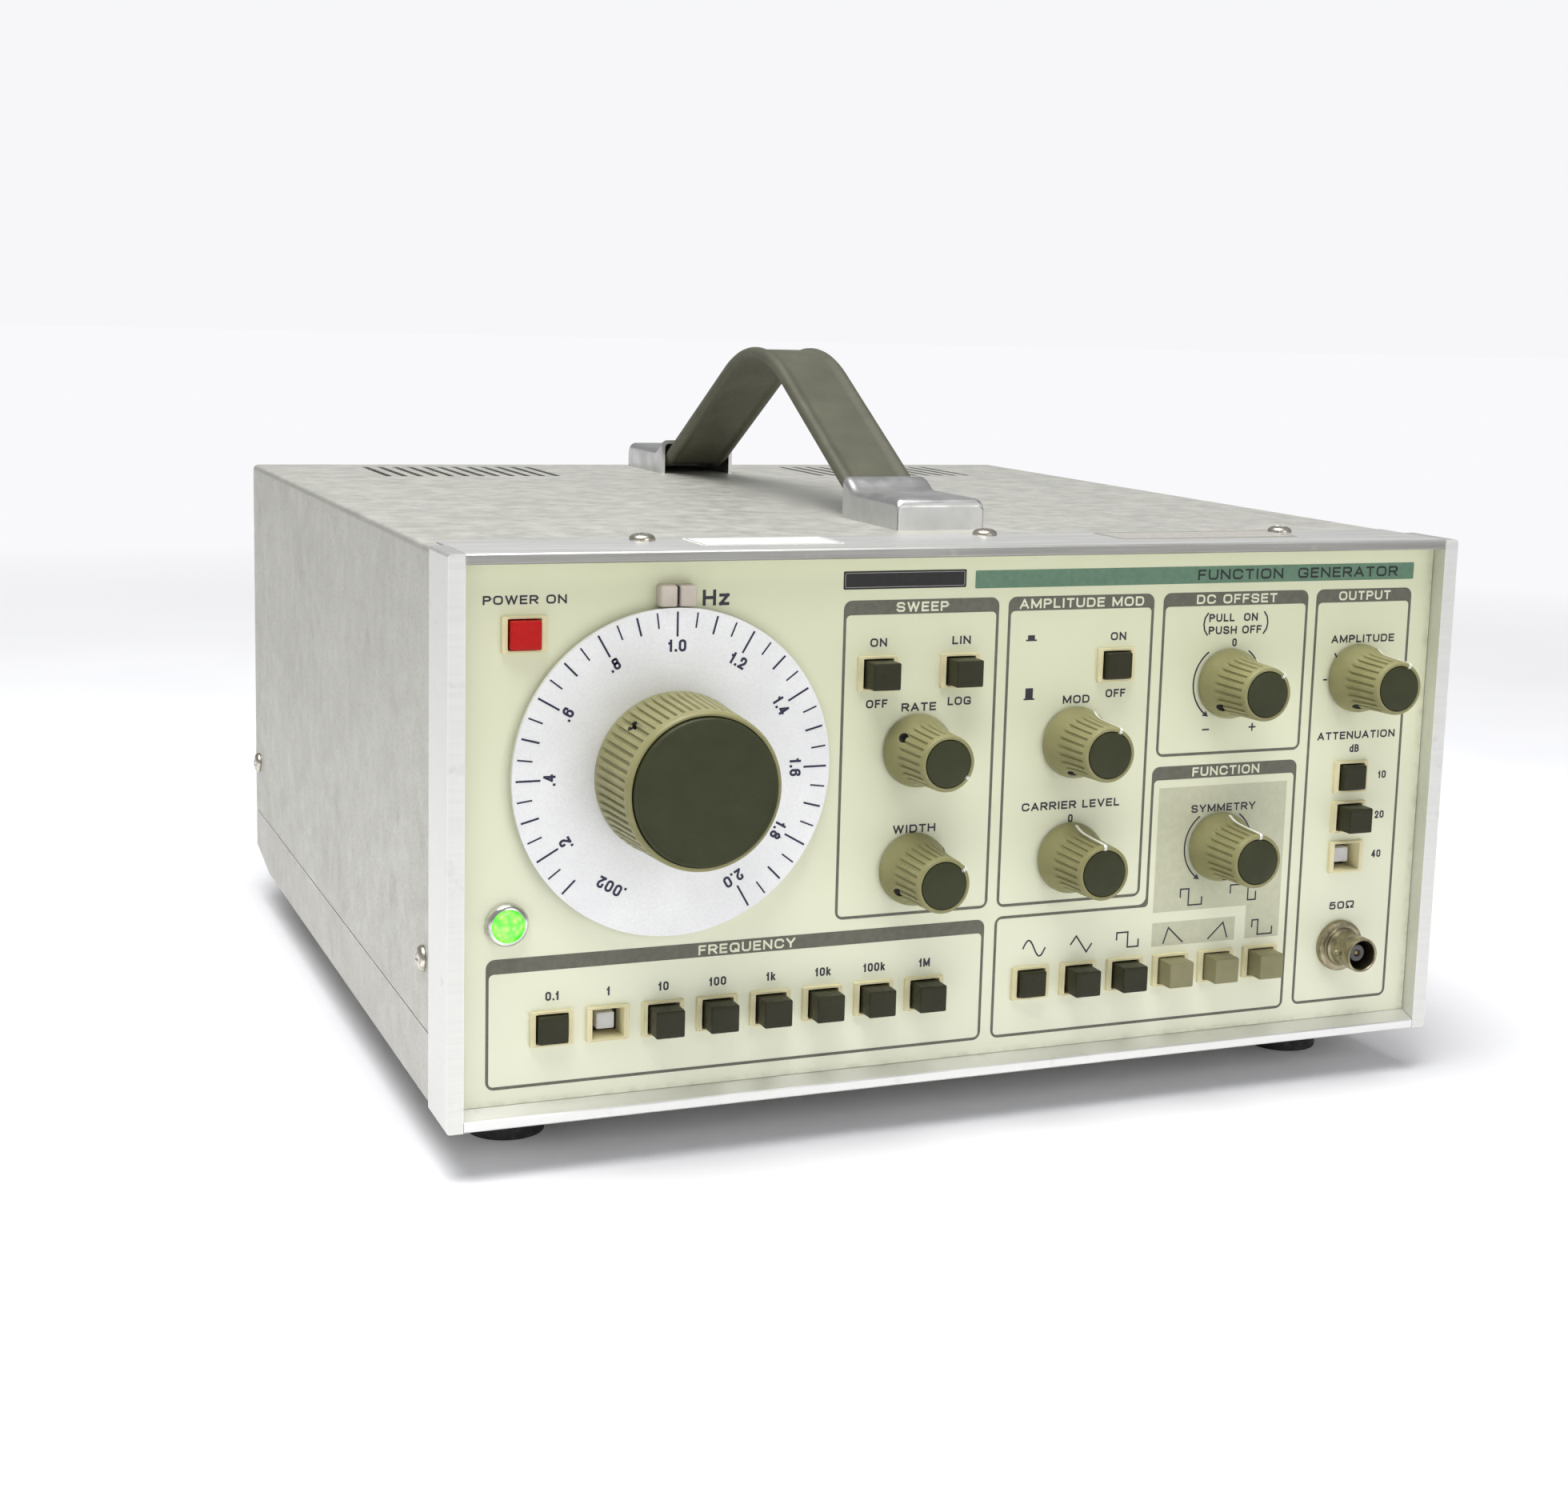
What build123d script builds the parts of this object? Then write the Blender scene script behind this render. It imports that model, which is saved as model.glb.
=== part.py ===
"""Bench function generator: an aluminium-framed case with a printed front panel, a large tuning
dial, seven control knobs, rows of push buttons, a coaxial output and a strap handle.

Millimetres. +X is to the user's right, the front faces -Y, +Z is up.
The origin is the centre of the bounding box on the surface that the feet stand on.
"""

import os
from math import cos, radians, sin, sqrt

from build123d import *

os.makedirs("parts", exist_ok=True)

# ---------------------------------------------------------------- driving dimensions
WIDTH = 284.0  # over the frame rails
FRAME_HEIGHT = 140.0  # underside to top of the frame
CASE_DEPTH = 288.0  # frame front to the rear edge of the covers
FOOT_HEIGHT = 13.0  # floor to the frame's underside
RAIL_FACE = 4.2  # width of a side rail's front face
RAIL_DEPTH = 19.2  # side rail, front to back
CROSS_THICK = 2.65  # top and bottom rail, front edge
RAIL_JOINT = 0.12  # open joint at each end of a cross rail
TOP_RAIL_DEPTH = 30.0  # the top rail's flange reaches further back
PANEL_RECESS = 5.0  # panel face behind the frame's front
PANEL_THICK = 2.0
SHEET = 1.2  # cover sheet metal
COVER_DROP = 0.5  # covers sit this far inside the frame's outline
SEAM_HEIGHT = 18.6  # seam between the covers, above the frame's underside
SEAM_GAP = 0.4
REAR_POST_LENGTH = 18.0
DIAL_REACH = 27.0  # dial knob's face in front of the panel
RUNNING = 0.08  # radial clearance of a shaft in its bush

# front of the frame, placed so that the whole object is centred on Y
FRONT = (DIAL_REACH - PANEL_RECESS - CASE_DEPTH - REAR_POST_LENGTH) / 2
PANEL_FACE = FRONT + PANEL_RECESS
HALF_WIDTH = WIDTH / 2
HALF_OPENING = HALF_WIDTH - RAIL_FACE
COVER_HALF = HALF_WIDTH - COVER_DROP
COVER_TOP = FRAME_HEIGHT - COVER_DROP
COVER_BOTTOM = 1.4

# ---------------------------------------------------------------- front panel layout (x, height)
DIAL_AT = (-85.2, 85.2)
LAMP_AT = (-126.3, 49.7)
OUTPUT_AT = (114.1, 25.2)
POWER_AT = (-122.6, 120.2)

SWEEP_X = -19.3
MOD_X = 26.4
OFFSET_X = 72.8
OUTPUT_X = 114.4
UPPER_KNOB_HEIGHT = 87.5
LOWER_KNOB_HEIGHT = 56.4
TOP_KNOB_HEIGHT = 101.5
TOP_BUTTON_HEIGHT = 107.7
ROW_HEIGHT = 22.8
BUTTON_PITCH = 14.3
RANGE_FIRST_X = -114.9
FUNCTION_FIRST_X = 16.4
ATTENUATOR_FIRST_HEIGHT = 73.6
ATTENUATOR_PITCH = 11.4

# knob name: (x, height, pointer angle clockwise from the top, as seen from the front)
KNOBS = {
    "sweep_rate": (SWEEP_X, UPPER_KNOB_HEIGHT, 125),
    "sweep_width": (SWEEP_X, LOWER_KNOB_HEIGHT, 55),
    "modulation": (MOD_X, UPPER_KNOB_HEIGHT, 25),
    "carrier_level": (MOD_X, LOWER_KNOB_HEIGHT, 0),
    "dc_offset": (OFFSET_X, TOP_KNOB_HEIGHT, 45),
    "symmetry": (OFFSET_X, LOWER_KNOB_HEIGHT, 5),
    "amplitude": (OUTPUT_X, TOP_KNOB_HEIGHT, 27),
}

OUT, IN, BARE = "out", "in", "bare"
BUTTONS = {
    "power_button": (*POWER_AT, IN),
    "sweep_on_button": (SWEEP_X - 11.5, TOP_BUTTON_HEIGHT, OUT),
    "sweep_linear_button": (SWEEP_X + 11.5, TOP_BUTTON_HEIGHT, OUT),
    "modulation_on_button": (MOD_X + 11.4, TOP_BUTTON_HEIGHT, IN),
}
RANGE_NAMES = ("100m", "1", "10", "100", "1k", "10k", "100k", "1M")
for index, label in enumerate(RANGE_NAMES):
    state = {"100m": IN, "1": BARE}.get(label, OUT)
    kind = "plunger" if state == BARE else "button"
    BUTTONS[f"range_{label}_{kind}"] = (RANGE_FIRST_X + index * BUTTON_PITCH, ROW_HEIGHT, state)
FUNCTION_NAMES = ("sine", "triangle", "square", "ramp_down", "ramp_up", "pulse")
for index, label in enumerate(FUNCTION_NAMES):
    state = IN if label == "sine" else OUT
    BUTTONS[f"{label}_button"] = (FUNCTION_FIRST_X + index * BUTTON_PITCH, ROW_HEIGHT, state)
for index, (label, state) in enumerate((("10", IN), ("20", OUT), ("40", BARE))):
    kind = "plunger" if state == BARE else "button"
    height_here = ATTENUATOR_FIRST_HEIGHT - index * ATTENUATOR_PITCH
    BUTTONS[f"attenuator_{label}_{kind}"] = (OUTPUT_X, height_here, state)

# ---------------------------------------------------------------- small part sizes
CAP_WIDTH, CAP_TALL = 7.4, 6.9  # push button cap
CAP_LENGTH = 8.0
CAP_OUT = 7.0  # cap face in front of the panel when out
TRAVEL = 4.0
PLUNGER_SIZE = 3.0
PLUNGER_FACE = -1.5  # bare plunger's face when out
PLUNGER_HEAD = (4.6, 4.2)
BEZEL_WIDTH, BEZEL_TALL = 11.0, 8.9
BEZEL_FLANGE = 1.2
BEZEL_NECK = (9.6, 8.3)
BEZEL_HOLE = (8.1, 7.5)
BEZEL_DEPTH = 6.0  # neck behind the panel face
SWITCH_FRONT = -9.0  # switch bodies start this far behind the panel face
SWITCH_LENGTH = 26.0
SWITCH_TALL = 9.6
SHAFT_RADIUS = 3.0
DIAL_SHAFT_RADIUS = 4.0
BUSH_HOLE_RADIUS = 5.2
KNOB_RADIUS = 9.5
KNOB_REACH = 20.0
KNOB_CAP_RADIUS = 6.1
LAMP_RADIUS = 5.35
BNC_RADIUS = 4.85
SCREW_HEAD_RADIUS = 3.3

HANDLE_X = 5.0
HANDLE_FRONT = 46.0  # front cap's closed end, behind the frame's front
HANDLE_BACK = 284.0
CAP_BOX_LENGTH = 38.0
CAP_BOX_WIDTH = 26.0
STRAP_WIDTH = 22.6
STRAP_THICK = 4.0
STRAP_BASE = 4.2  # strap centre line above the cover, inside the end caps
STRAP_RISE = 47.0  # from there to the meeting point of its two straight legs


def depth(distance):
    """Y of a point this far behind the frame's front."""
    return FRONT + distance


def height(distance):
    """Z of a point this far above the frame's underside."""
    return FOOT_HEIGHT + distance


def face_plane(x, h, out=0.0):
    """A plane parallel to the panel, `out` in front of it: local X right, Y up, normal forward."""
    return Plane(origin=(x, PANEL_FACE - out, height(h)), x_dir=(1, 0, 0), z_dir=(0, -1, 0))


def turning_plane(x, h, angle=90.0):
    """A plane through a front-panel axis: local X points out at `angle` from the top, Y forward."""
    a = radians(angle)
    return Plane(
        origin=(x, PANEL_FACE, height(h)), x_dir=(sin(a), 0, cos(a)), z_dir=(cos(a), 0, -sin(a))
    )


def front_axis(x, h):
    """The axis through a front-panel position, pointing at the user."""
    return Axis((x, PANEL_FACE, height(h)), (0, -1, 0))


def side_plane(x):
    """A plane across the object at x: local X backwards, local Y up, normal along +X."""
    return Plane(origin=(x, FRONT, FOOT_HEIGHT), x_dir=(0, 1, 0), z_dir=(1, 0, 0))


def dome_point(radius, low, top):
    """Halfway point of a dome's arc from (radius, low) up to (0, top), centred on the axis."""
    rise = top - low
    sphere = (radius**2 + rise**2) / (2 * rise)
    return (radius / 2, top - sphere + sqrt(sphere**2 - radius**2 / 4))


def save(shape, label):
    """Labels a finished piece and writes its file."""
    shape.label = label
    export_step(shape, f"parts/{label}.step")


def save_group(shapes, label):
    """Writes pieces that stay separate solids as one node."""
    save(Compound(children=[solid for shape in shapes for solid in shape.solids()]), label)


# ================================================================ front frame
# Side rails: a thick outer wall, a ledge behind the panel and a tab that takes a cover screw.
LEDGE_REACH = 4.0
TAB_THICK, TAB_REACH, TAB_TALL = 1.6, 34.0, 22.0
SIDE_SCREW_HEIGHT = 36.5
FRONT_SCREW_DEPTH = 27.0
REAR_SCREW_DEPTH = 281.0
SCREW_SHANK_RADIUS = 1.6
LEDGE_THICK = 2.0
LEDGE_LOW = 5.0  # the ledges start above the lower rail
RAIL_EDGE = 0.9  # rounding of the outer edges
panel_back = PANEL_RECESS + PANEL_THICK
ledge_back = panel_back + LEDGE_THICK

with BuildPart() as frame_side_rails:
    with BuildSketch(Plane.XY.offset(height(0))):
        for side in (-1, 1):
            with BuildLine():
                Polyline(
                    (side * HALF_WIDTH, depth(0)),
                    (side * HALF_WIDTH, depth(RAIL_DEPTH)),
                    (side * HALF_OPENING, depth(RAIL_DEPTH)),
                    (side * HALF_OPENING, depth(ledge_back)),
                    (side * (HALF_OPENING - LEDGE_REACH), depth(ledge_back)),
                    (side * (HALF_OPENING - LEDGE_REACH), depth(panel_back)),
                    (side * HALF_OPENING, depth(panel_back)),
                    (side * HALF_OPENING, depth(0)),
                    close=True,
                )
            make_face()
    extrude(amount=FRAME_HEIGHT)
    # the ledges stop short of the cross rails
    for low, high in ((0, LEDGE_LOW), (FRAME_HEIGHT - CROSS_THICK, FRAME_HEIGHT)):
        with BuildSketch(Plane.XY.offset(height(low))):
            with Locations(
                *[(side * (HALF_OPENING - LEDGE_REACH / 2), depth(ledge_back - 1)) for side in (-1, 1)]
            ):
                Rectangle(LEDGE_REACH, LEDGE_THICK + 0.4)
        extrude(amount=high - low, mode=Mode.SUBTRACT)
    tab_x = COVER_HALF - SHEET - TAB_THICK / 2
    tab_start = RAIL_DEPTH - 2.0
    for side in (-1, 1):
        with BuildSketch(Plane.XY.offset(height(SIDE_SCREW_HEIGHT - TAB_TALL / 2))):
            with Locations((side * tab_x, depth((tab_start + TAB_REACH) / 2))):
                Rectangle(TAB_THICK, TAB_REACH - tab_start)
        extrude(amount=TAB_TALL)
    screw_line = Plane(
        origin=(0, depth(FRONT_SCREW_DEPTH), height(SIDE_SCREW_HEIGHT)), x_dir=(0, 1, 0), z_dir=(1, 0, 0)
    )
    with BuildSketch(screw_line):
        Circle(SCREW_SHANK_RADIUS)
    extrude(amount=HALF_WIDTH, both=True, mode=Mode.SUBTRACT)
    long_edges = frame_side_rails.edges().filter_by(Axis.Y)
    fillet(long_edges.filter_by(lambda e: abs(e.center().X) > HALF_WIDTH - 0.1), radius=RAIL_EDGE)
save(frame_side_rails.part, "frame_side_rails")

# Cross rails: plates between the side rails; the lower one slopes up to the panel.
LOWER_SLOPE_TOP = 4.3
LIP_WIDTH = 0.7  # flat strip in front of the slope
PANEL_GAP = 0.1  # panel edge to the rails
FRONT_CHAMFER = 0.35
TOP_SCREWS = ((-87.0, 25.0), (9.0, 27.0), (100.0, 25.0))
top_rail_underside = FRAME_HEIGHT - CROSS_THICK
cross_half = HALF_OPENING - RAIL_JOINT
slope_top = LOWER_SLOPE_TOP - PANEL_GAP
with BuildPart() as frame_cross_rails:
    with BuildSketch(side_plane(-cross_half)):
        with BuildLine():
            Polyline(
                (0, 0),
                (RAIL_DEPTH, 0),
                (RAIL_DEPTH, CROSS_THICK),
                (panel_back, CROSS_THICK),
                (panel_back, slope_top),
                (PANEL_RECESS, slope_top),
                (LIP_WIDTH, CROSS_THICK),
                (0, CROSS_THICK),
                close=True,
            )
        make_face()
        with BuildLine():
            Polyline(
                (0, FRAME_HEIGHT),
                (TOP_RAIL_DEPTH, FRAME_HEIGHT),
                (TOP_RAIL_DEPTH, top_rail_underside),
                (0, top_rail_underside),
                close=True,
            )
        make_face()
    extrude(amount=2 * cross_half)
    front_edges = frame_cross_rails.edges().filter_by(Axis.X).filter_by(
        lambda e: abs(e.center().Y - FRONT) < 0.01
    )
    chamfer(front_edges, length=FRONT_CHAMFER)
    with BuildSketch(Plane.XY.offset(height(FRAME_HEIGHT))):
        with Locations(*[(x, depth(d)) for x, d in TOP_SCREWS]):
            Circle(SCREW_SHANK_RADIUS)
    extrude(amount=-CROSS_THICK, mode=Mode.SUBTRACT)
save(frame_cross_rails.part, "frame_cross_rails")

# ================================================================ front panel
panel_low = LOWER_SLOPE_TOP
panel_high = top_rail_underside - PANEL_GAP
with BuildPart() as front_panel:
    with BuildSketch(face_plane(0, (panel_low + panel_high) / 2)):
        Rectangle(2 * (HALF_OPENING - PANEL_GAP), panel_high - panel_low)
    extrude(amount=-PANEL_THICK)
    with BuildSketch(face_plane(0, 0)):
        with Locations(*[(x, h) for x, h, _ in BUTTONS.values()]):
            Rectangle(BEZEL_NECK[0] + 2 * PANEL_GAP, BEZEL_NECK[1] + 2 * PANEL_GAP)
        with Locations(*[(x, h) for x, h, _ in KNOBS.values()], DIAL_AT):
            Circle(BUSH_HOLE_RADIUS)
        with Locations(LAMP_AT):
            Circle(LAMP_RADIUS - 1.0)
        with Locations(OUTPUT_AT):
            Circle(BNC_RADIUS + 0.1)
    extrude(amount=-PANEL_THICK, mode=Mode.SUBTRACT)
save(front_panel.part, "front_panel")

# ================================================================ covers
SIDE_LOW = SEAM_HEIGHT + SEAM_GAP
REAR_INSET = 3.0  # rear panel inside the covers' rear edge
TONGUE_OVERLAP = 10.0
TONGUE_HALF = HALF_OPENING - 8.0
VENT_COUNT, VENT_PITCH, VENT_LENGTH, VENT_WIDTH = 12, 5.2, 42.0, 2.2
VENT_X, VENT_DEPTH = 77.0, 256.0
COVER_GAP = 0.1  # between a cover and the rail in front of it
TOP_EDGE = 1.8  # rounding of the folded top edges
cover_front = RAIL_DEPTH + COVER_GAP
top_start = TOP_RAIL_DEPTH + 2 * COVER_GAP


def cover_screw_planes():
    """Planes on the covers' two sides, one for each side screw, normals pointing outwards."""
    return [
        Plane(
            origin=(side * COVER_HALF, depth(d), height(SIDE_SCREW_HEIGHT)),
            x_dir=(0, side, 0),
            z_dir=(side, 0, 0),
        )
        for side in (-1, 1)
        for d in (FRONT_SCREW_DEPTH, REAR_SCREW_DEPTH)
    ]


with BuildPart() as top_cover:
    with BuildSketch(Plane.XZ.offset(-depth(cover_front))) as cover_section:
        with Locations((0, height((COVER_TOP + SIDE_LOW) / 2))):
            Rectangle(2 * COVER_HALF, COVER_TOP - SIDE_LOW)
        fillet(cover_section.vertices().group_by(Axis.Y)[-1], radius=TOP_EDGE)
        with Locations((0, height((COVER_TOP - SHEET + SIDE_LOW) / 2))):
            Rectangle(2 * (COVER_HALF - SHEET), COVER_TOP - SHEET - SIDE_LOW, mode=Mode.SUBTRACT)
    extrude(amount=-(CASE_DEPTH - cover_front))
    # the top starts behind the top rail's flange, and a joggled tongue runs under it
    with BuildSketch(Plane.XY.offset(height(COVER_TOP))):
        with Locations((0, depth((cover_front + top_start) / 2))):
            Rectangle(2 * (HALF_OPENING + COVER_GAP), top_start - cover_front)
    extrude(amount=-SHEET, mode=Mode.SUBTRACT)
    with BuildSketch(side_plane(-TONGUE_HALF)):
        with BuildLine():
            Polyline(
                (TOP_RAIL_DEPTH - TONGUE_OVERLAP, top_rail_underside),
                (top_start, top_rail_underside),
                (top_start, COVER_TOP),
                (top_start + SHEET, COVER_TOP),
                (top_start + SHEET, top_rail_underside - SHEET),
                (TOP_RAIL_DEPTH - TONGUE_OVERLAP, top_rail_underside - SHEET),
                close=True,
            )
        make_face()
    extrude(amount=2 * TONGUE_HALF)
    with BuildSketch(Plane.XY.offset(height(FRAME_HEIGHT))):
        with Locations(*[(x, depth(d)) for x, d in TOP_SCREWS]):
            Circle(SCREW_SHANK_RADIUS)
    extrude(amount=-2 * CROSS_THICK, mode=Mode.SUBTRACT)
    with BuildSketch(Plane.XY.offset(height(COVER_TOP))):
        with Locations((VENT_X, depth(VENT_DEPTH)), (-VENT_X, depth(VENT_DEPTH))):
            with GridLocations(VENT_PITCH, 0, VENT_COUNT, 1):
                SlotOverall(VENT_LENGTH, VENT_WIDTH, rotation=90)
    extrude(amount=-SHEET, mode=Mode.SUBTRACT)
    for plane in cover_screw_planes():
        with BuildSketch(plane):
            Circle(SCREW_SHANK_RADIUS)
        extrude(amount=-SHEET, mode=Mode.SUBTRACT)
save(top_cover.part, "top_cover")

BOTTOM_CUT_START, BOTTOM_CUT_RISE = 262.0, 4.6
with BuildPart() as bottom_cover:
    with BuildSketch(side_plane(-COVER_HALF)):
        with BuildLine():
            Polyline(
                (cover_front, COVER_BOTTOM),
                (BOTTOM_CUT_START, COVER_BOTTOM),
                (CASE_DEPTH, COVER_BOTTOM + BOTTOM_CUT_RISE),
                (CASE_DEPTH, SEAM_HEIGHT),
                (cover_front, SEAM_HEIGHT),
                close=True,
            )
        make_face()
    extrude(amount=2 * COVER_HALF)
    with BuildSketch(side_plane(-(COVER_HALF - SHEET))):
        with BuildLine():
            Polyline(
                (cover_front, COVER_BOTTOM + SHEET),
                (BOTTOM_CUT_START - 0.1, COVER_BOTTOM + SHEET),
                (CASE_DEPTH, COVER_BOTTOM + BOTTOM_CUT_RISE + SHEET),
                (CASE_DEPTH, SEAM_HEIGHT),
                (cover_front, SEAM_HEIGHT),
                close=True,
            )
        make_face()
    extrude(amount=2 * (COVER_HALF - SHEET), mode=Mode.SUBTRACT)
save(bottom_cover.part, "bottom_cover")

# ================================================================ rear panel
REAR_FACE = CASE_DEPTH - REAR_INSET
REAR_THICK = 1.5
REAR_LOW, REAR_HIGH = 8.0, COVER_TOP - SHEET
REAR_FLANGE = 10.0
INLET_AT = (-96.0, 80.0)
INLET_CUTOUT = (27.6, 21.0)
REAR_SOCKETS = tuple((x, 34.0) for x in (-60.0, -20.0, 20.0, 60.0))
rear_half = COVER_HALF - SHEET


def rear_plane(x, h, out=0.0):
    """A plane parallel to the rear panel, `out` behind it: local X points left, normal backwards."""
    return Plane(origin=(x, depth(REAR_FACE) + out, height(h)), x_dir=(-1, 0, 0), z_dir=(0, 1, 0))


with BuildPart() as rear_panel:
    with BuildSketch(rear_plane(0, (REAR_LOW + REAR_HIGH) / 2)):
        Rectangle(2 * rear_half, REAR_HIGH - REAR_LOW)
    extrude(amount=-REAR_THICK)
    # side flanges take the rear cover screws
    flange_low = SEAM_HEIGHT + 2.0
    with BuildSketch(Plane.XY.offset(height(flange_low))):
        with Locations(
            *[(side * (rear_half - REAR_THICK / 2), depth(REAR_FACE - REAR_FLANGE / 2)) for side in (-1, 1)]
        ):
            Rectangle(REAR_THICK, REAR_FLANGE)
    extrude(amount=REAR_HIGH - flange_low)
    with BuildSketch(rear_plane(0, 0)):
        with Locations((-INLET_AT[0], INLET_AT[1])):
            Rectangle(*INLET_CUTOUT)
        with Locations(*REAR_SOCKETS):
            Circle(BNC_RADIUS + 0.1)
    extrude(amount=-REAR_THICK, mode=Mode.SUBTRACT)
    for plane in cover_screw_planes():
        with BuildSketch(plane):
            Circle(SCREW_SHANK_RADIUS)
        extrude(amount=-2 * (SHEET + REAR_THICK), mode=Mode.SUBTRACT)
save(rear_panel.part, "rear_panel")

# Rear posts: blocks that the mains lead winds round, and that guard the sockets.
POST_WIDTH, POST_TALL = 18.0, 19.0
POST_AT = (HALF_WIDTH - 12.0, 30.5)
with BuildPart() as rear_posts:
    with BuildSketch(rear_plane(0, POST_AT[1])):
        with Locations((POST_AT[0], 0), (-POST_AT[0], 0)):
            RectangleRounded(POST_WIDTH, POST_TALL, 2.5)
    extrude(amount=REAR_INSET + REAR_POST_LENGTH)
    fillet(rear_posts.faces().sort_by(Axis.Y)[-2:].edges(), radius=1.5)
save(rear_posts.part, "rear_posts")

# ================================================================ mains inlet
INLET_FLANGE = (48.0, 22.4)
INLET_CAVITY = (24.4, 16.8)
INLET_CAVITY_DEPTH = 16.0
INLET_BODY_DEPTH = 22.0
inlet_plane = rear_plane(INLET_AT[0], INLET_AT[1])
with BuildPart() as mains_inlet:
    with BuildSketch(inlet_plane):
        RectangleRounded(*INLET_FLANGE, 3.0)
    extrude(amount=2.0)
    with BuildSketch(inlet_plane):
        Rectangle(INLET_CUTOUT[0] - 0.4, INLET_CUTOUT[1] - 0.4)
    extrude(amount=-INLET_BODY_DEPTH)
    with BuildSketch(rear_plane(*INLET_AT, out=2.0)) as cavity:
        Rectangle(*INLET_CAVITY)
        chamfer(cavity.vertices().group_by(Axis.Y)[-1], length=4.0)
    extrude(amount=-(2.0 + INLET_CAVITY_DEPTH), mode=Mode.SUBTRACT)
    with BuildSketch(rear_plane(*INLET_AT, out=-INLET_CAVITY_DEPTH)):
        with Locations((-7, -2), (7, -2), (0, 2.2)):
            Rectangle(2.0, 4.0)
    extrude(amount=INLET_CAVITY_DEPTH - 2.5)
    with BuildSketch(rear_plane(*INLET_AT, out=2.0)):
        with Locations((-20, 0), (20, 0)):
            Circle(1.6)
    extrude(amount=-2.0, mode=Mode.SUBTRACT)
save(mains_inlet.part, "mains_inlet")

# ================================================================ coaxial sockets
BNC_REACH = 12.0
BNC_FLANGE_RADIUS = 7.2
BNC_FLANGE = 2.0
BARREL_STEP = 0.25  # the barrel is this much slimmer behind the lugs
BNC_TAIL = 10.0
LUG_REACH = 7.0
LUG_TIP = 5.9
LUG_RADIUS = 1.0
CORE_RADIUS = 4.05
CORE_BACK = 8.0
CORE_SHOULDER = 0.5
CORE_NOSE_RADIUS, CORE_NOSE_END = 2.4, 9.5
CONTACT_BORE_RADIUS, CONTACT_BORE = 0.7, 6.0


def coax_shell(face):
    """A bayonet socket's shell on a plane: flange, stepped barrel, two lugs, tail behind the panel."""
    step = LUG_REACH + LUG_RADIUS + 0.2
    with BuildPart() as shell:
        with BuildSketch(face):
            Circle(BNC_FLANGE_RADIUS)
        extrude(amount=BNC_FLANGE)
        with BuildSketch(face.offset(-BNC_TAIL)):
            Circle(BNC_RADIUS - BARREL_STEP)
        extrude(amount=BNC_TAIL + step)
        with BuildSketch(face.offset(step)):
            Circle(BNC_RADIUS)
        extrude(amount=BNC_REACH - step)
        lug_plane = Plane(
            origin=face.origin + face.z_dir * LUG_REACH, x_dir=face.x_dir, z_dir=face.y_dir
        )
        with BuildSketch(lug_plane):
            Circle(LUG_RADIUS)
        extrude(amount=LUG_TIP, both=True)
        with BuildSketch(face.offset(BNC_REACH)):
            Circle(CORE_RADIUS)
        extrude(amount=-(BNC_REACH + CORE_BACK), mode=Mode.SUBTRACT)
    return shell.part


def coax_core(face):
    """A socket's insulator, bored for the centre contact."""
    with BuildPart() as core:
        with BuildSketch(face.offset(-CORE_BACK)):
            Circle(CORE_RADIUS)
        extrude(amount=CORE_BACK + CORE_SHOULDER)
        with BuildSketch(face.offset(CORE_SHOULDER)):
            Circle(CORE_NOSE_RADIUS)
        extrude(amount=CORE_NOSE_END - CORE_SHOULDER)
        with BuildSketch(face.offset(CORE_NOSE_END)):
            Circle(CONTACT_BORE_RADIUS)
        extrude(amount=-CONTACT_BORE, mode=Mode.SUBTRACT)
    return core.part


socket_faces = [face_plane(*OUTPUT_AT)] + [rear_plane(x, h) for x, h in REAR_SOCKETS]
save_group([make(face) for face in socket_faces for make in (coax_shell, coax_core)], "bnc_connectors")

# ================================================================ bezels, lamp, dial index
with BuildPart() as button_bezels:
    for x, h, _ in BUTTONS.values():
        with BuildSketch(face_plane(x, h)):
            Rectangle(BEZEL_WIDTH, BEZEL_TALL)
        extrude(amount=BEZEL_FLANGE)
        with BuildSketch(face_plane(x, h)):
            Rectangle(*BEZEL_NECK)
        extrude(amount=-BEZEL_DEPTH)
        with BuildSketch(face_plane(x, h, out=BEZEL_FLANGE)):
            Rectangle(*BEZEL_HOLE)
        extrude(amount=-(BEZEL_DEPTH + BEZEL_FLANGE), mode=Mode.SUBTRACT)
save(button_bezels.part, "button_bezels")

LENS_RADIUS = 3.7
with BuildPart() as pilot_lamp_bezel:
    with BuildSketch(turning_plane(*LAMP_AT)):
        with BuildLine():
            Polyline(
                (LENS_RADIUS, -6.0),
                (LAMP_RADIUS - 1.1, -6.0),
                (LAMP_RADIUS - 1.1, 0),
                (LAMP_RADIUS, 0),
                (LAMP_RADIUS, 1.4),
                (LAMP_RADIUS - 0.6, 2.2),
                (LENS_RADIUS, 2.2),
                close=True,
            )
        make_face()
    revolve(axis=front_axis(*LAMP_AT))
save(pilot_lamp_bezel.part, "pilot_lamp_bezel")

with BuildPart() as pilot_lamp_lens:
    with BuildSketch(turning_plane(*LAMP_AT)):
        with BuildLine():
            Polyline((0, 3.4), (0, -5.0), (LENS_RADIUS, -5.0), (LENS_RADIUS, 1.8))
            ThreePointArc((LENS_RADIUS, 1.8), dome_point(LENS_RADIUS, 1.8, 3.4), (0, 3.4))
        make_face()
    revolve(axis=front_axis(*LAMP_AT))
save(pilot_lamp_lens.part, "pilot_lamp_lens")

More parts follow.
